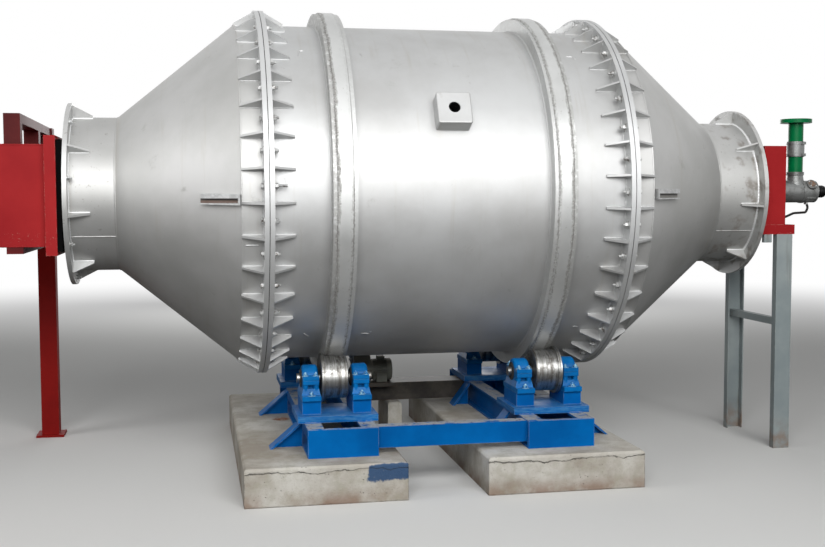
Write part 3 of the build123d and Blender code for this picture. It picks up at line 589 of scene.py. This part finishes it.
def aluminium(name, base_low, base_high, smudged_from=None):
    """Aluminium paint with fine flake, soft clouding and runs of dust.

    Out from the X it is smudged on the right, and flecked on both sides.
    """
    paint = Finish(name)
    cloud = paint.grain(1.5, 5.0, 0.6)
    flake = paint.grain(900.0, 2.0, 0.5)
    peel = paint.grain(140.0, 2.0, 0.5)
    streak = paint.streaks(24.0, 1.3, 1.3, 4.0, 0.6)
    scuff = paint.grain(8.0, 6.0, 0.68).ramp(0.62, 0.74)
    colour = paint.layers(
        card(*base_low),
        (card(*base_high), cloud.ramp(0.32, 0.68)),
        (card(168, 163, 154), streak.ramp(0.55, 0.8) * 0.35),
        (card(144, 140, 134), scuff * 0.28),
    )
    dull = 0.12 * cloud + 0.18 * scuff
    if smudged_from:
        here_x = paint.place.part("X")
        on_right = here_x.ramp(smudged_from, smudged_from + 0.02)
        on_both = here_x.size().ramp(smudged_from, smudged_from + 0.02)
        smudge = paint.grain(10.5, 2.0, 0.45).ramp(0.54, 0.68) * on_right
        smudge = smudge * paint.grain(40.0, 3.0, 0.6).ramp(0.2, 0.6)
        smudge = smudge.either(paint.grain(48.0, 3.0, 0.6).ramp(0.64, 0.72) * on_both * 0.6)
        colour = paint.blend(colour, card(120, 111, 101), smudge * 0.6)
        dull = dull + smudge * 0.2
    paint.surface(
        flake * 0.05 + peel * 0.3 + streak * 0.2,
        0.0006,
        Base_Color=colour,
        Metallic=0.62,
        Roughness=dull + 0.44,
    )
    return paint.material


drum_paint = aluminium("aluminium_drum_paint", (176, 176, 175), (192, 193, 193))
coat(drum_paint, "drum_shell", "tap_block", "joint_gussets_left", "joint_gussets_right")

scars = bmesh.new()
for x0, up0, x1, up1 in (
    (-0.81, 49.0, -0.80, 52.0),
    (-0.80, 52.0, -0.775, 51.8),
    (-0.46, 51.0, -0.44, 49.0),
    (0.455, 52.0, 0.46, 50.0),
    (0.75, 52.0, 0.79, 51.8),
    (0.79, 51.8, 0.80, 50.2),
    (-0.79, -52.0, -0.76, -54.0),
    (-0.46, -53.0, -0.41, -53.2),
    (-0.41, -53.2, -0.405, -51.5),
    (0.80, -52.0, 0.835, -52.2),
    (-1.122, -16.0, -1.052, -16.0),
):
    for turn in (0, 180):
        start, out = spot_on_drum(x0, up0 + turn, shell_r)
        end, _ = spot_on_drum(x1, up1 + turn, shell_r)
        straight_bead(scars, start, end, out, (0.012, 0.004), x0 + turn, 0.005)
seam_angle = 168
seam_reach = half_shell - 0.03
start, out = spot_on_drum(-seam_reach, seam_angle, shell_r)
end, _ = spot_on_drum(seam_reach, seam_angle, shell_r)
straight_bead(scars, start, end, out, (0.014, 0.003), seam_angle, 0.007)
fitted("shell_weld_scars", scars, drum_paint, "drum", 60.0)


# Riding rings: forged steel rings machined on the tread, between two welded retaining rings.
# The tread's paint is worn off along ragged, granular lines beside its edges.
ring_steel = Finish("riding_ring_steel")
here_x = ring_steel.place.part("X")
fray = ring_steel.streaks(26.0, 30.0, 30.0, 5.0, 0.75) - 0.5
drift = ring_steel.streaks(1.0, 4.0, 4.0, 3.0, 0.6) - 0.5
lathe = ring_steel.streaks(320.0, 1.0, 1.0, 2.0, 0.5)
cloud = ring_steel.grain(2.4, 5.0, 0.6)
outward = here_x.size() - ring_x
outer = outward.ramp(-0.01, 0.01)
off_track = outward.size() + fray * 0.026 + drift * (outer * 0.04 + 0.01)
worn = off_track.ramp(0.026, 0.031) * (outer * 0.7 + 0.3)
worn = worn * ring_steel.grain(40.0, 5.0, 0.75).ramp(0.36, 0.52)
broken = ring_steel.streaks(0.0, 5.0, 5.0, 3.0, 0.6).ramp(0.42, 0.54)
low_down = ring_steel.place.part("Z").ramp(axis_z + 0.2, axis_z - 0.1)
lined = outer.either(here_x.ramp(-0.1, 0.1)).either(low_down)
from_rim = (off_track - 0.040).size()
granular = from_rim.ramp(0.013, 0.004) * ring_steel.grain(85.0, 4.0, 0.7).ramp(0.46, 0.58)
rim = from_rim.ramp(0.0036, 0.001) * 0.7 * broken.either(outer * 0.8)
rim = rim.either(granular * 0.75) * lined
speck = ring_steel.grain(65.0, 4.0, 0.7).ramp(0.64, 0.7)
colour = ring_steel.layers(
    card(186, 187, 186),
    (card(204, 205, 204), cloud.ramp(0.3, 0.7)),
    (card(146, 145, 142), worn * 0.6),
    (card(104, 100, 94), rim * 0.75),
    (card(120, 114, 106), speck * 0.4),
)
ring_steel.surface(
    lathe * 0.35 - worn * 0.5 - rim * 0.9 - speck * 0.4,
    0.0008,
    Base_Color=colour,
    Metallic=0.6,
    Roughness=cloud * 0.12 + 0.36 + worn * 0.14 + rim * 0.1,
)
coat(ring_steel.material, "riding_ring_left", "riding_ring_right", "ring_retainers")


def round_bead(mesh, x, radius, lean, size, seed, step=0.0075):
    """Adds a bead right round the drum, whose normals lean along X by this much."""
    count = int(2 * pi * radius / step)
    places = [spot_on_drum(x, 360 * k / count, radius) for k in range(count)]
    normals = [(out + Vector((lean, 0, 0))).normalized() for _, out in places]
    bead(mesh, [spot for spot, _ in places], normals, size, True, seed)


ring_welds = bmesh.new()
retain_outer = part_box("ring_retainers")[1].x
retain_inner = 2 * ring_x - retain_outer
for hand in (-1, 1):
    for x, lean in ((retain_outer, hand), (retain_inner, -hand)):
        round_bead(ring_welds, hand * x, shell_r, lean, (0.013, 0.005), x)
fitted("ring_welds", ring_welds, drum_paint, "drum", 60.0)


# Bolted joints: flat rings welded to the shell and the cones, stiffened by triangular gussets.
# One bolt between each pair of gussets pulls the rings together on a rope gasket.
flange_paint = aluminium("aluminium_flange_paint", (184, 185, 185), (202, 203, 203))
coat(flange_paint, "drum_flange_left", "drum_flange_right", "cone_flange_left", "cone_flange_right")

rope = Finish("rope_gasket")
lay = rope.grain(60.0, 4.0, 0.6)
colour = rope.blend(card(34, 33, 32), card(76, 74, 70), lay.ramp(0.4, 0.7))
rope.surface(lay, 0.002, Base_Color=colour, Roughness=0.9)
coat(rope.material, "joint_gaskets")

bolt_r = 1.046
bolt_flats = 0.027
gusset_step = 10.0
gusset_length = 0.115
gusset_face = 0.0065
gusset_weld = (0.009, 0.003)
joint_weld = (0.012, 0.005)
first_gusset = {"left": 7.0, "right": 5.0}
longest_bolt = ("left", 35)

aged_zinc = Finish("painted_joint_bolts")
patchy = aged_zinc.grain(55.0, 4.0, 0.65)
colour = aged_zinc.blend(card(190, 191, 190), card(104, 98, 92), patchy.ramp(0.48, 0.66))
aged_zinc.surface(patchy, 0.0005, Base_Color=colour, Metallic=0.5, Roughness=0.5)

joint_bolts = bmesh.new()
joint_welds = bmesh.new()
for side, hand in hands:
    flange_low, flange_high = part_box("drum_flange_" + side)
    cone_low, cone_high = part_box("cone_flange_" + side)
    drum_back = flange_low.x if hand > 0 else flange_high.x
    cone_back = cone_high.x if hand > 0 else cone_low.x
    flange_r = (flange_high.z - flange_low.z) / 2
    for k in range(36):
        angle = first_gusset[side] + gusset_step * k
        middle = angle + gusset_step / 2
        spot, out = spot_on_drum(drum_back, middle, bolt_r)
        length = 0.006 + 0.010 * abs(sin(k * 2.4))
        if (side, k) == longest_bolt:
            length += 0.034
        bolt(joint_bolts, aim(spot, (-hand, 0, 0)), bolt_flats, 0.018, length, turn=k * 0.7)
        spot, out = spot_on_drum(cone_back, middle, bolt_r)
        bolt(joint_bolts, aim(spot, (hand, 0, 0)), bolt_flats, 0.014, turn=k * 1.3)
        for back, away in ((drum_back, -hand), (cone_back, hand)):
            for face in (-1, 1):
                spot, out = spot_on_drum(back, angle, shell_r + 0.001)
                along = Vector((away, 0, 0))
                sideways = out.cross(Vector((1, 0, 0))) * face
                foot = spot + sideways * gusset_face
                ends = foot + along * 0.004, foot + along * gusset_length
                straight_bead(joint_welds, *ends, out + sideways, gusset_weld, k + face)
                foot = foot + along * 0.001
                ends = foot, foot + out * (flange_r - shell_r - 0.016)
                straight_bead(joint_welds, *ends, along + sideways, gusset_weld, k - face)
    for back, away in ((drum_back, -hand), (cone_back, hand)):
        round_bead(joint_welds, back, shell_r, away, joint_weld, back)
fitted("joint_bolts", joint_bolts, aged_zinc.material, "drum")
fitted("joint_welds", joint_welds, drum_paint, "drum", 60.0)


# Cones: each is a short belt, a rolled cone and a throat, butt-welded and painted as the shell.
# The belt's seam was dressed and shows as a pale line, and each cone has one seam down its back.
cone_paint = aluminium("aluminium_cone_paint", (172, 172, 170), (188, 188, 187), 1.83)
throat_paint = aluminium("aluminium_throat_paint", (182, 182, 180), (202, 203, 203), 1.9)
coat(cone_paint, "cone_left", "cone_right")
throat_r = 0.45
throat_x = 1.815
throat_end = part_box("throat_flange_right")[0].x
belt_x = 1.14
cone_seam_angle = 160
throat_seam_angle = -32.5

cone_welds = bmesh.new()
for hand in (-1, 1):
    for x, radius in ((belt_x, shell_r), (throat_x, throat_r)):
        round_bead(cone_welds, hand * x, radius, 0.4 * hand, (0.012, 0.003), x)
    start, out = spot_on_drum(hand * belt_x, cone_seam_angle, shell_r)
    end, _ = spot_on_drum(hand * throat_x, cone_seam_angle, throat_r)
    out = out * (throat_x - belt_x) + Vector((hand, 0, 0)) * (shell_r - throat_r)
    straight_bead(cone_welds, start, end, out, (0.013, 0.003), hand, 0.007)
    start, out = spot_on_drum(hand * throat_x, throat_seam_angle, throat_r)
    end, _ = spot_on_drum(hand * throat_end, throat_seam_angle, throat_r)
    straight_bead(cone_welds, start, end, out, (0.011, 0.0025), hand + 5)
fitted("cone_welds", cone_welds, cone_paint, "drum", 60.0)


# Channel lugs: two short channels on each cone, beside the belt, which take the lifting slings.
# Each channel's pocket is painted darker. On the left cone it is rust brown where water stands in
# it, and on the right cone it is a painted-shade grey. Both turn near black under the pocket's top
# lip, as a painted shadow.
lug_paint = Finish("aluminium_lug_paint")
cloud = lug_paint.grain(30.0, 5.0, 0.65)
lug_x = lug_paint.place.part("X")
on_right = lug_x.ramp(-0.1, 0.1)
behind = lug_paint.place.part("Y").ramp(-0.1, 0.1) * 2.0 - 1.0
pocket_z = 0.040 - on_right * 0.020
half_pocket = 0.0115
pocket_x = 1.1602
above_pocket = (lug_paint.place.part("Z") - axis_z) * behind - pocket_z
in_pocket = above_pocket.size().ramp(half_pocket + 0.0015, half_pocket)
in_pocket = in_pocket * lug_x.size().ramp(pocket_x, pocket_x + 0.001)
# Pocket colours: rust brown on the left cone and grey painted shade on the right, blending to near
# black at the pocket's top as a painted shadow under the lip.
damp = lug_paint.blend(card(112, 90, 78), card(132, 130, 125), on_right)
pocket_rust_and_shade = lug_paint.blend(damp, card(50, 44, 41), above_pocket.ramp(0.002, -0.006))
colour = lug_paint.layers(
    card(172, 173, 173),
    (card(200, 201, 201), cloud.ramp(0.35, 0.65)),
    (pocket_rust_and_shade, in_pocket * 0.92),
)
lug_paint.surface(cloud, 0.0008, rounding=0.002, Base_Color=colour, Metallic=0.5, Roughness=0.48)
coat(lug_paint.material, "cone_lugs")


# Throat flanges: end rings with eight gussets each. The left one carries eight loose bolts.
# The throats have been rubbed and touched up, which leaves dull patches in the paint.
coat(throat_paint, "throat_flange_left", "throat_flange_right", "throat_gussets")

first_throat_gusset = {"left": 31.0, "right": 35.5}
first_throat_bolt = 10.0
throat_step = 45.0
throat_bolt_r = 0.492
throat_bolts = bmesh.new()
throat_welds = bmesh.new()
for side, hand in hands:
    low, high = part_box("throat_flange_" + side)
    back, face = (low.x, high.x) if hand > 0 else (high.x, low.x)
    if hand < 0:
        stub = [(0, 0), (0.010, 0), (0.010, 0.003), (0.008, 0.004), (0, 0.004)]
        for k in range(8):
            angle = first_throat_bolt + throat_step * k
            spot, _ = spot_on_drum(back, angle, throat_bolt_r)
            bolt(throat_bolts, aim(spot, (1, 0, 0)), 0.024, 0.013, 0.012, turn=k)
            spot, _ = spot_on_drum(face, angle, throat_bolt_r)
            turned(throat_bolts, stub, aim(spot, (-1, 0, 0)), 16)
    throat_weld = (0.020, 0.007) if hand > 0 else (0.012, 0.0042)
    round_bead(throat_welds, back, throat_r, -hand, throat_weld, back, 0.006)
    for k in range(8):
        for edge in (-1, 1):
            angle = first_throat_gusset[side] + throat_step * k
            spot, out = spot_on_drum(back, angle, throat_r + 0.001)
            sideways = out.cross(Vector((1, 0, 0))) * edge
            foot = spot + sideways * gusset_face
            end = foot - Vector((hand * gusset_length, 0, 0))
            straight_bead(throat_welds, foot, end, out + sideways, gusset_weld, k)
fitted("throat_bolts", throat_bolts, zinc.material, "drum")
# The throat welds are painted near white, as a painted highlight along each weld.
weld_highlight_paint = aluminium("weld_painted_highlight", (226, 227, 227), (244, 245, 245))
fitted("throat_welds", throat_welds, weld_highlight_paint, "drum", 60.0)


# Tap block: a machined steel pad saddled on the shell, welded all round, with a fireclay tap hole.
# The hole's lip is scorched, and a clay sleeve lines the bore.
scorch = Finish("fireclay_sleeve")
crust = scorch.grain(70.0, 5.0, 0.7)
colour = scorch.blend(card(14, 15, 17), card(46, 42, 40), crust.ramp(0.45, 0.75))
scorch.surface(crust, 0.003, Base_Color=colour, Roughness=0.95, Specular_IOR_Level=0.1)

tap_angle = 25.0
tap_reach = shell_r + 0.082
sleeve_bore = 0.0285
sleeve_rim = 0.0322
sleeve_depth = 0.10
tap_sleeve = bmesh.new()
spot, out = spot_on_drum(0.0, tap_angle, tap_reach)
sleeve_wall = [(sleeve_bore, -sleeve_depth), (sleeve_rim, -sleeve_depth), (sleeve_rim, -0.001)]
sleeve_lip = [(sleeve_rim - 0.001, 0), (sleeve_bore, -0.002), (sleeve_bore, -sleeve_depth)]
turned(tap_sleeve, sleeve_wall + sleeve_lip, aim(spot, out), 48)
fitted("tap_sleeve", tap_sleeve, scorch.material, "drum")


# Lining: wedge bricks laid in staves, baked brown and blackened by slag towards the chamber.
# It is keyed by its own arch and shows only through the tap hole and the throats.
brick = Finish("baked_refractory")
laid = {"Vector": brick.place, "Scale": 4.0, "Mortar Size": 0.012}
courses = brick.node("TexBrick", {"offset": 0.5}, laid, "Fac")
slag = brick.grain(6.0, 6.0, 0.65)
colour = brick.layers(
    card(176, 150, 122),
    (card(98, 76, 60), slag.ramp(0.35, 0.65)),
    (card(64, 54, 46), courses * 0.8),
)
brick.surface(slag - courses, 0.004, Base_Color=colour, Roughness=0.95)
coat(brick.material, "lining_drum", "lining_cone_left", "lining_cone_right")


# Flue hood: a welded plate box with a flat bar frame round its mouth, in red enamel.
# A black sealing plate faces the throat, and a flanged ring at the far end takes the duct.
enamel = Finish("red_enamel")
tone = enamel.grain(2.2, 5.0, 0.6)
bare = enamel.edges(0.006) * enamel.grain(36.0, 5.0, 0.72).ramp(0.46, 0.6)
hood_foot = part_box("flue_hood")[0].z
scrape = enamel.streaks(40.0, 40.0, 55.0, 5.0, 0.75).ramp(0.6, 0.68)
scrape_z = hood_foot + 0.045
scrape = scrape * (enamel.place.part("Z") - scrape_z).size().ramp(0.05, 0.02)
dust = enamel.facing("Z").ramp(0.3, 0.9) * tone.ramp(0.3, 0.7)
chipped = bare.either(scrape)
colour = enamel.layers(
    card(150, 32, 36),
    (card(166, 40, 42), tone.ramp(0.3, 0.7)),
    (card(140, 104, 92), dust * 0.35),
    (card(196, 142, 132), chipped * 0.6),
)
enamel.surface(
    enamel.grain(90.0) * 0.3 - chipped,
    0.0006,
    Base_Color=colour,
    Roughness=0.4 + dust * 0.3,
    Specular_IOR_Level=0.06,
)
coat(enamel.material, "flue_hood", "hood_frame", "flue_outlet", "burner_box", "burner_ledge")

seal_black = Finish("sealing_plate_black")
soot = seal_black.grain(9.0, 5.0, 0.6)
colour = seal_black.blend(card(9, 9, 10), card(30, 27, 25), soot.ramp(0.5, 0.8))
seal_black.surface(soot, 0.001, Base_Color=colour, Roughness=0.85, Specular_IOR_Level=0.06)
coat(seal_black.material, "hood_seal")

hood_welds = bmesh.new()
low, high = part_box("flue_hood")
mouth_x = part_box("hood_frame")[0].x
edge_weld = (0.008, 0.003)
mouth_weld = (0.010, 0.004)
for y, side in ((low.y, -1), (high.y, 1)):
    for z, up in ((low.z, -1), (high.z, 1)):
        ends = (low.x, y, z), (mouth_x, y, z)
        straight_bead(hood_welds, *ends, (0, side, up), edge_weld, y + z)
    ends = (mouth_x, y, low.z), (mouth_x, y, high.z)
    straight_bead(hood_welds, *ends, (-1, side, 0), mouth_weld, y)
for z, up in ((low.z, -1), (high.z, 1)):
    ends = (mouth_x, low.y, z), (mouth_x, high.y, z)
    straight_bead(hood_welds, *ends, (-1, 0, up), mouth_weld, z)
fitted("hood_welds", hood_welds, enamel.material, "base", 60.0)


# Swing frame: square tubes and flats in red primer, on a column with a foot plate.
# The column stands behind the hood, and the jib over it carries the hood's frame.
primer = Finish("red_primer_shaded_above")
tone = primer.grain(3.0, 5.0, 0.6)
bare = primer.edges(0.006) * primer.grain(28.0, 5.0, 0.7).ramp(0.5, 0.64)
# Above the hood's foot the red is darker, as painted shade on the jib and the upper column. Below
# it the column takes a brighter red, the lit copy of the same primer.
below_hood = primer.place.part("Z").ramp(hood_foot, hood_foot - 0.1)
lit_red = primer.blend(card(118, 14, 12), card(136, 20, 16), tone.ramp(0.3, 0.7))
colour = primer.layers(
    card(74, 24, 25),
    (card(94, 33, 33), tone.ramp(0.3, 0.7)),
    (lit_red, below_hood),
    (card(132, 86, 70), bare * 0.5),
)
primer.surface(
    tone + primer.grain(120.0) * 0.3,
    0.0006,
    Base_Color=colour,
    Roughness=0.55,
    Specular_IOR_Level=0.1,
)
coat(primer.material, "hood_column", "hood_jib")


# Burner stand: two section posts in grey primer under a red ledge, tied by a flat bar.
# Rain has run down the posts, their edges are rubbed, and their feet are muddy.
grey = Finish("grey_primer")
tone = grey.grain(2.4, 5.0, 0.6)
runs = grey.streaks(22.0, 22.0, 1.4, 4.0, 0.6)
bare = grey.edges(0.006) * grey.grain(28.0, 5.0, 0.7).ramp(0.46, 0.6)
mud = grey.place.part("Z").ramp(0.22, 0.02) * grey.grain(9.0).ramp(0.3, 0.6)
colour = grey.layers(
    card(132, 142, 144),
    (card(156, 164, 164), tone.ramp(0.3, 0.7)),
    (card(112, 108, 100), runs.ramp(0.56, 0.72) * 0.5),
    (card(188, 190, 188), bare * 0.5),
    (card(132, 96, 70), mud * 0.7),
)
grey.surface(runs * 0.5, 0.0006, Base_Color=colour, Roughness=0.5, Specular_IOR_Level=0.2)
coat(grey.material, "burner_posts", "burner_brace")


# Burner: a cast body on the box, with a bolted side cover, a neck for the air riser and a black
# ribbed knob. A bent steel fuel pipe runs from under it back into the box.
burner_low, burner_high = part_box("burner")
burner_r = 0.073
burner_z = burner_low.z + 0.088
box_face = burner_low.x
knob_start = burner_high.x - 0.071
cover_x = 2.657

silver = Finish("silver_cast_body")
skin = silver.grain(130.0, 4.0, 0.6)
soot = silver.grain(14.0, 5.0, 0.65)
rust_spot = (cover_x, -0.06, burner_z + 0.05)
reach = {0: silver.place, 1: rust_spot}
from_spot = silver.node("VectorMath", {"operation": "DISTANCE"}, reach, "Value")
rusty = from_spot.ramp(0.034, 0.014) * silver.grain(60.0, 5.0, 0.7).ramp(0.4, 0.52)
on_knob = silver.place.part("X").ramp(knob_start - 0.0005, knob_start + 0.0005)
colour = silver.layers(
    card(132, 134, 133),
    (card(88, 88, 85), soot.ramp(0.42, 0.7)),
    (card(134, 96, 66), rusty * 0.85),
    (card(15, 15, 16), on_knob),
)
silver.surface(skin, 0.0008, rounding=0.003, Base_Color=colour, Metallic=0.45, Roughness=0.42)
coat(silver.material, "burner", "air_sleeve")


def pad(mesh, place, wide, deep, high):
    """Adds a rectangular block with a chamfered top, standing on the place along its Z."""
    half = sqrt(0.5)
    shaped = place @ Matrix.Diagonal((wide, deep, 1, 1))
    outline = [(0, 0), (half, 0), (half, high - 0.002), (half * 0.93, high), (0, high)]
    turned(mesh, outline, shaped, 4, pi / 4)


def collar(mesh, place, inner, outer, half):
    """Adds a band round the place's Z, this far to either side of it."""
    turned(mesh, [(inner, -half), (outer, -half), (outer, half), (inner, half)], place, 48)


def tube(mesh, corners, radius, bend, sides=14):
    """Adds a bent pipe through the corners, which lie in one upright plane along X."""
    spots = [corners[0]]
    for before, corner, after in zip(corners, corners[1:], corners[2:]):
        enter = corner + (before - corner).normalized() * bend
        leave = corner + (after - corner).normalized() * bend
        for k in range(7):
            t = k / 6
            spots.append(enter.lerp(corner, t).lerp(corner.lerp(leave, t), t))
    spots.append(corners[-1])
    across = Vector((0, 1, 0))
    rows = []
    for i, spot in enumerate(spots):
        ahead = (spots[min(i + 1, len(spots) - 1)] - spots[max(i - 1, 0)]).normalized()
        up = ahead.cross(across)
        angles = [2 * pi * k / sides for k in range(sides)]
        rim = [spot + (across * cos(a) + up * sin(a)) * radius for a in angles]
        rows.append([mesh.verts.new(corner) for corner in rim])
    for low, high in zip(rows, rows[1:]):
        for k in range(sides):
            mesh.faces.new((low[k], low[(k + 1) % sides], high[(k + 1) % sides], high[k]))


fittings = bmesh.new()
for x in (box_face + 0.075, knob_start - 0.095):
    band = aim((x, 0, burner_z), (1, 0, 0))
    collar(fittings, band, burner_r - 0.003, burner_r + 0.004, 0.011)
cover_angle = radians(38)
foot_angle = radians(-42)
cover_out = Vector((0, -cos(cover_angle), sin(cover_angle)))
cover = Vector((cover_x, 0, burner_z)) + cover_out * (burner_r - 0.004)
cover_rim = [(0, 0), (0.037, 0), (0.037, 0.011), (0.034, 0.014)]
cover_boss = [(0.018, 0.014), (0.016, 0.018), (0, 0.018)]
turned(fittings, cover_rim + cover_boss, aim(cover, cover_out), 32)
foot_out = Vector((0, -cos(foot_angle), sin(foot_angle)))
foot = Vector((cover_x - 0.006, 0, burner_z)) + foot_out * (burner_r - 0.005)
pad(fittings, aim(foot, foot_out), 0.064, 0.030, 0.016)
knob_rib = [(0.036, -0.004), (0.041, -0.002), (0.041, 0.002), (0.036, 0.004)]
for k in range(5):
    ring = aim((knob_start + 0.010 + 0.012 * k, 0, burner_z), (1, 0, 0))
    turned(fittings, knob_rib, ring, 32)
sleeve_low, sleeve_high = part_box("air_sleeve")
sleeve_x = (sleeve_low.x + sleeve_high.x) / 2
for z in (sleeve_low.z + 0.012, sleeve_high.z - 0.012):
    collar(fittings, aim((sleeve_x, 0, z), (0, 0, 1)), 0.055, 0.0595, 0.007)
    ear = aim((sleeve_x + 0.022, -0.052, z), (0.3, -1, 0))
    pad(fittings, ear, 0.030, 0.018, 0.016)
fitted("burner_fittings", fittings, silver.material, "base")

screws = bmesh.new()
flange_bolt_r = 0.0805
cover_bolt_r = 0.0265
pipe_nut = 0.027
pipe_entry = Vector((box_face, 0, 1.437))
bolt(screws, aim((burner_high.x, 0, burner_z), (1, 0, 0)), 0.022, 0.011)
for k in range(8):
    angle = pi * k / 4
    around = Vector((0, cos(angle), sin(angle))) * flange_bolt_r
    spot = Vector((box_face + 0.020, 0, burner_z)) + around
    bolt(screws, aim(spot, (1, 0, 0)), 0.010, 0.007, washer=False, turn=k)
for k in range(4):
    around = Matrix.Rotation(pi / 4 + pi * k / 2, 4, "Z") @ Matrix.Translation((cover_bolt_r, 0, 0))
    place = aim(cover + cover_out * 0.014, cover_out) @ around
    bolt(screws, place, 0.009, 0.005, washer=False)
pipe_start = Vector((2.650, 0, burner_low.z + 0.020))
under_burner = aim(pipe_start - Vector((0, 0, 0.002)), (0, 0, -1))
bolt(screws, under_burner, pipe_nut, 0.016, washer=False)
bolt(screws, aim(pipe_entry, (1, 0, 0.1)), pipe_nut, 0.016)
fitted("burner_bolts", screws, zinc.material, "base")

black_steel = Finish("black_steel_pipe")
scale = black_steel.grain(80.0, 4.0, 0.6)
colour = black_steel.blend(card(20, 19, 18), card(52, 47, 42), scale.ramp(0.45, 0.7))
black_steel.surface(scale, 0.0004, Base_Color=colour, Roughness=0.5, Specular_IOR_Level=0.25)
fuel_pipe = bmesh.new()
bends = ((2.664, 1.530), (2.650, 1.497), (2.560, 1.492), (2.499, 1.466))
route = [pipe_start, *(Vector((x, 0, z)) for x, z in bends), pipe_entry - Vector((0.003, 0, 0))]
tube(fuel_pipe, route, 0.008, 0.012)
fitted("fuel_pipe", fuel_pipe, black_steel.material, "base")

cleat = bmesh.new()
ledge_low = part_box("burner_ledge")[0]
cleat_x = 2.162
under = Matrix.Translation((cleat_x, ledge_low.y + 0.017, ledge_low.z + 0.001))
pad(cleat, under @ Matrix.Rotation(pi, 4, "X"), 0.052, 0.030, 0.053)
fitted("ledge_cleat", cleat, grey.material, "base")


# Air riser: a length of steel pipe that brings the blast down to the burner's neck.
# It ends in a slip-on flange, and both are in green enamel.
green = Finish("green_enamel")
tone = green.grain(6.0, 4.0, 0.6)
colour = green.blend(card(0, 94, 54), card(0, 122, 68), tone.ramp(0.3, 0.7))
green.surface(green.grain(90.0), 0.0004, Base_Color=colour, Roughness=0.34, Specular_IOR_Level=0.12)
coat(green.material, "air_pipe", "air_flange")


# Studio: a pale floor that fades to the white surround, and the camera at standing height.
# A large soft lamp lights the front, and weaker ones the left, the top and the back.
ground = Finish("studio_floor")
place = {0: ground.place}
from_middle = ground.node("VectorMath", {"operation": "LENGTH"}, place, "Value")
far = from_middle.ramp(6.0, 16.0)
glow = ground.node("Emission", {}, {"Color": (1, 1, 1, 1), "Strength": 1.0})
rays = ground.node("LightPath", {}, {}, "Is Camera Ray")
tone = ground.blend(card(112, 112, 110), card(226, 226, 224), rays)
ground.surface(Base_Color=tone, Roughness=0.9, Specular_IOR_Level=0.0)
plain = Signal(ground, ground.shader.outputs[0])
pale = ground.node("MixShader", {}, {0: far * ground.seen(), 1: plain, 2: glow})
ground.feed(ground.tree.nodes["Material Output"].inputs["Surface"], pale)
floor_reach = 60
floor_z = -0.0005
floor = bpy.data.meshes.new("studio_floor")
signs = ((-1, -1), (1, -1), (1, 1), (-1, 1))
corners = [(floor_reach * x, floor_reach * y, floor_z) for x, y in signs]
floor.from_pydata(corners, [], [(0, 1, 2, 3)])
floor.materials.append(ground.material)
floor = bpy.data.objects.new("studio_floor", floor)
bpy.context.scene.collection.objects.link(floor)

world = bpy.data.worlds.new("studio")
bpy.context.scene.world = world
surround = Finish("studio", world)
ambient = surround.tree.nodes["Background"]
ambient.inputs["Color"].default_value = (0.93, 0.96, 1.0, 1.0)
ambient.inputs["Strength"].default_value = 0.04
ambient = Signal(surround, ambient.outputs[0])
backdrop = surround.node("Background", {}, {"Color": (1, 1, 1, 1), "Strength": 1.0})
lit = surround.node("MixShader", {}, {0: surround.seen(), 1: ambient, 2: backdrop})
surround.feed(surround.tree.nodes["World Output"].inputs["Surface"], lit)


def softbox(name, spot, target, width, height, power):
    lamp = bpy.data.lights.new(name, "AREA")
    lamp.shape = "RECTANGLE"
    lamp.size = width
    lamp.size_y = height
    lamp.energy = power
    made = bpy.data.objects.new(name, lamp)
    made.matrix_world = aim(spot, Vector(spot) - Vector(target))
    bpy.context.scene.collection.objects.link(made)


softbox("front_softbox", (-0.4, -9, 5.1), (0, 0, 1.4), 9.5, 5, 980)
softbox("left_softbox", (-8, -2.2, 3.8), (-1.4, 0, 1.7), 3.5, 3.5, 130)
softbox("top_softbox", (0.5, -2, 8.5), (0, 0, 1.5), 7, 3, 20)
softbox("rear_softbox", (1.5, 9.5, 3.2), (0, 0, 1.2), 7, 3, 230)

yaw = 0.193
pitch = 0.0668
roll = 0.0032
camera = bpy.data.cameras.new("camera")
camera.sensor_width = 36.0
camera.lens = 49.14
viewpoint = bpy.data.objects.new("camera", camera)
turn = Matrix.Rotation(-yaw, 4, "Z") @ Matrix.Rotation(pi / 2 - pitch, 4, "X")
stand = Matrix.Translation((-1.3956, -6.9258, 1.6002))
viewpoint.matrix_world = stand @ turn @ Matrix.Rotation(-roll, 4, "Z")
bpy.context.scene.collection.objects.link(viewpoint)
bpy.context.scene.camera = viewpoint
bpy.context.scene.view_settings.view_transform = "Standard"
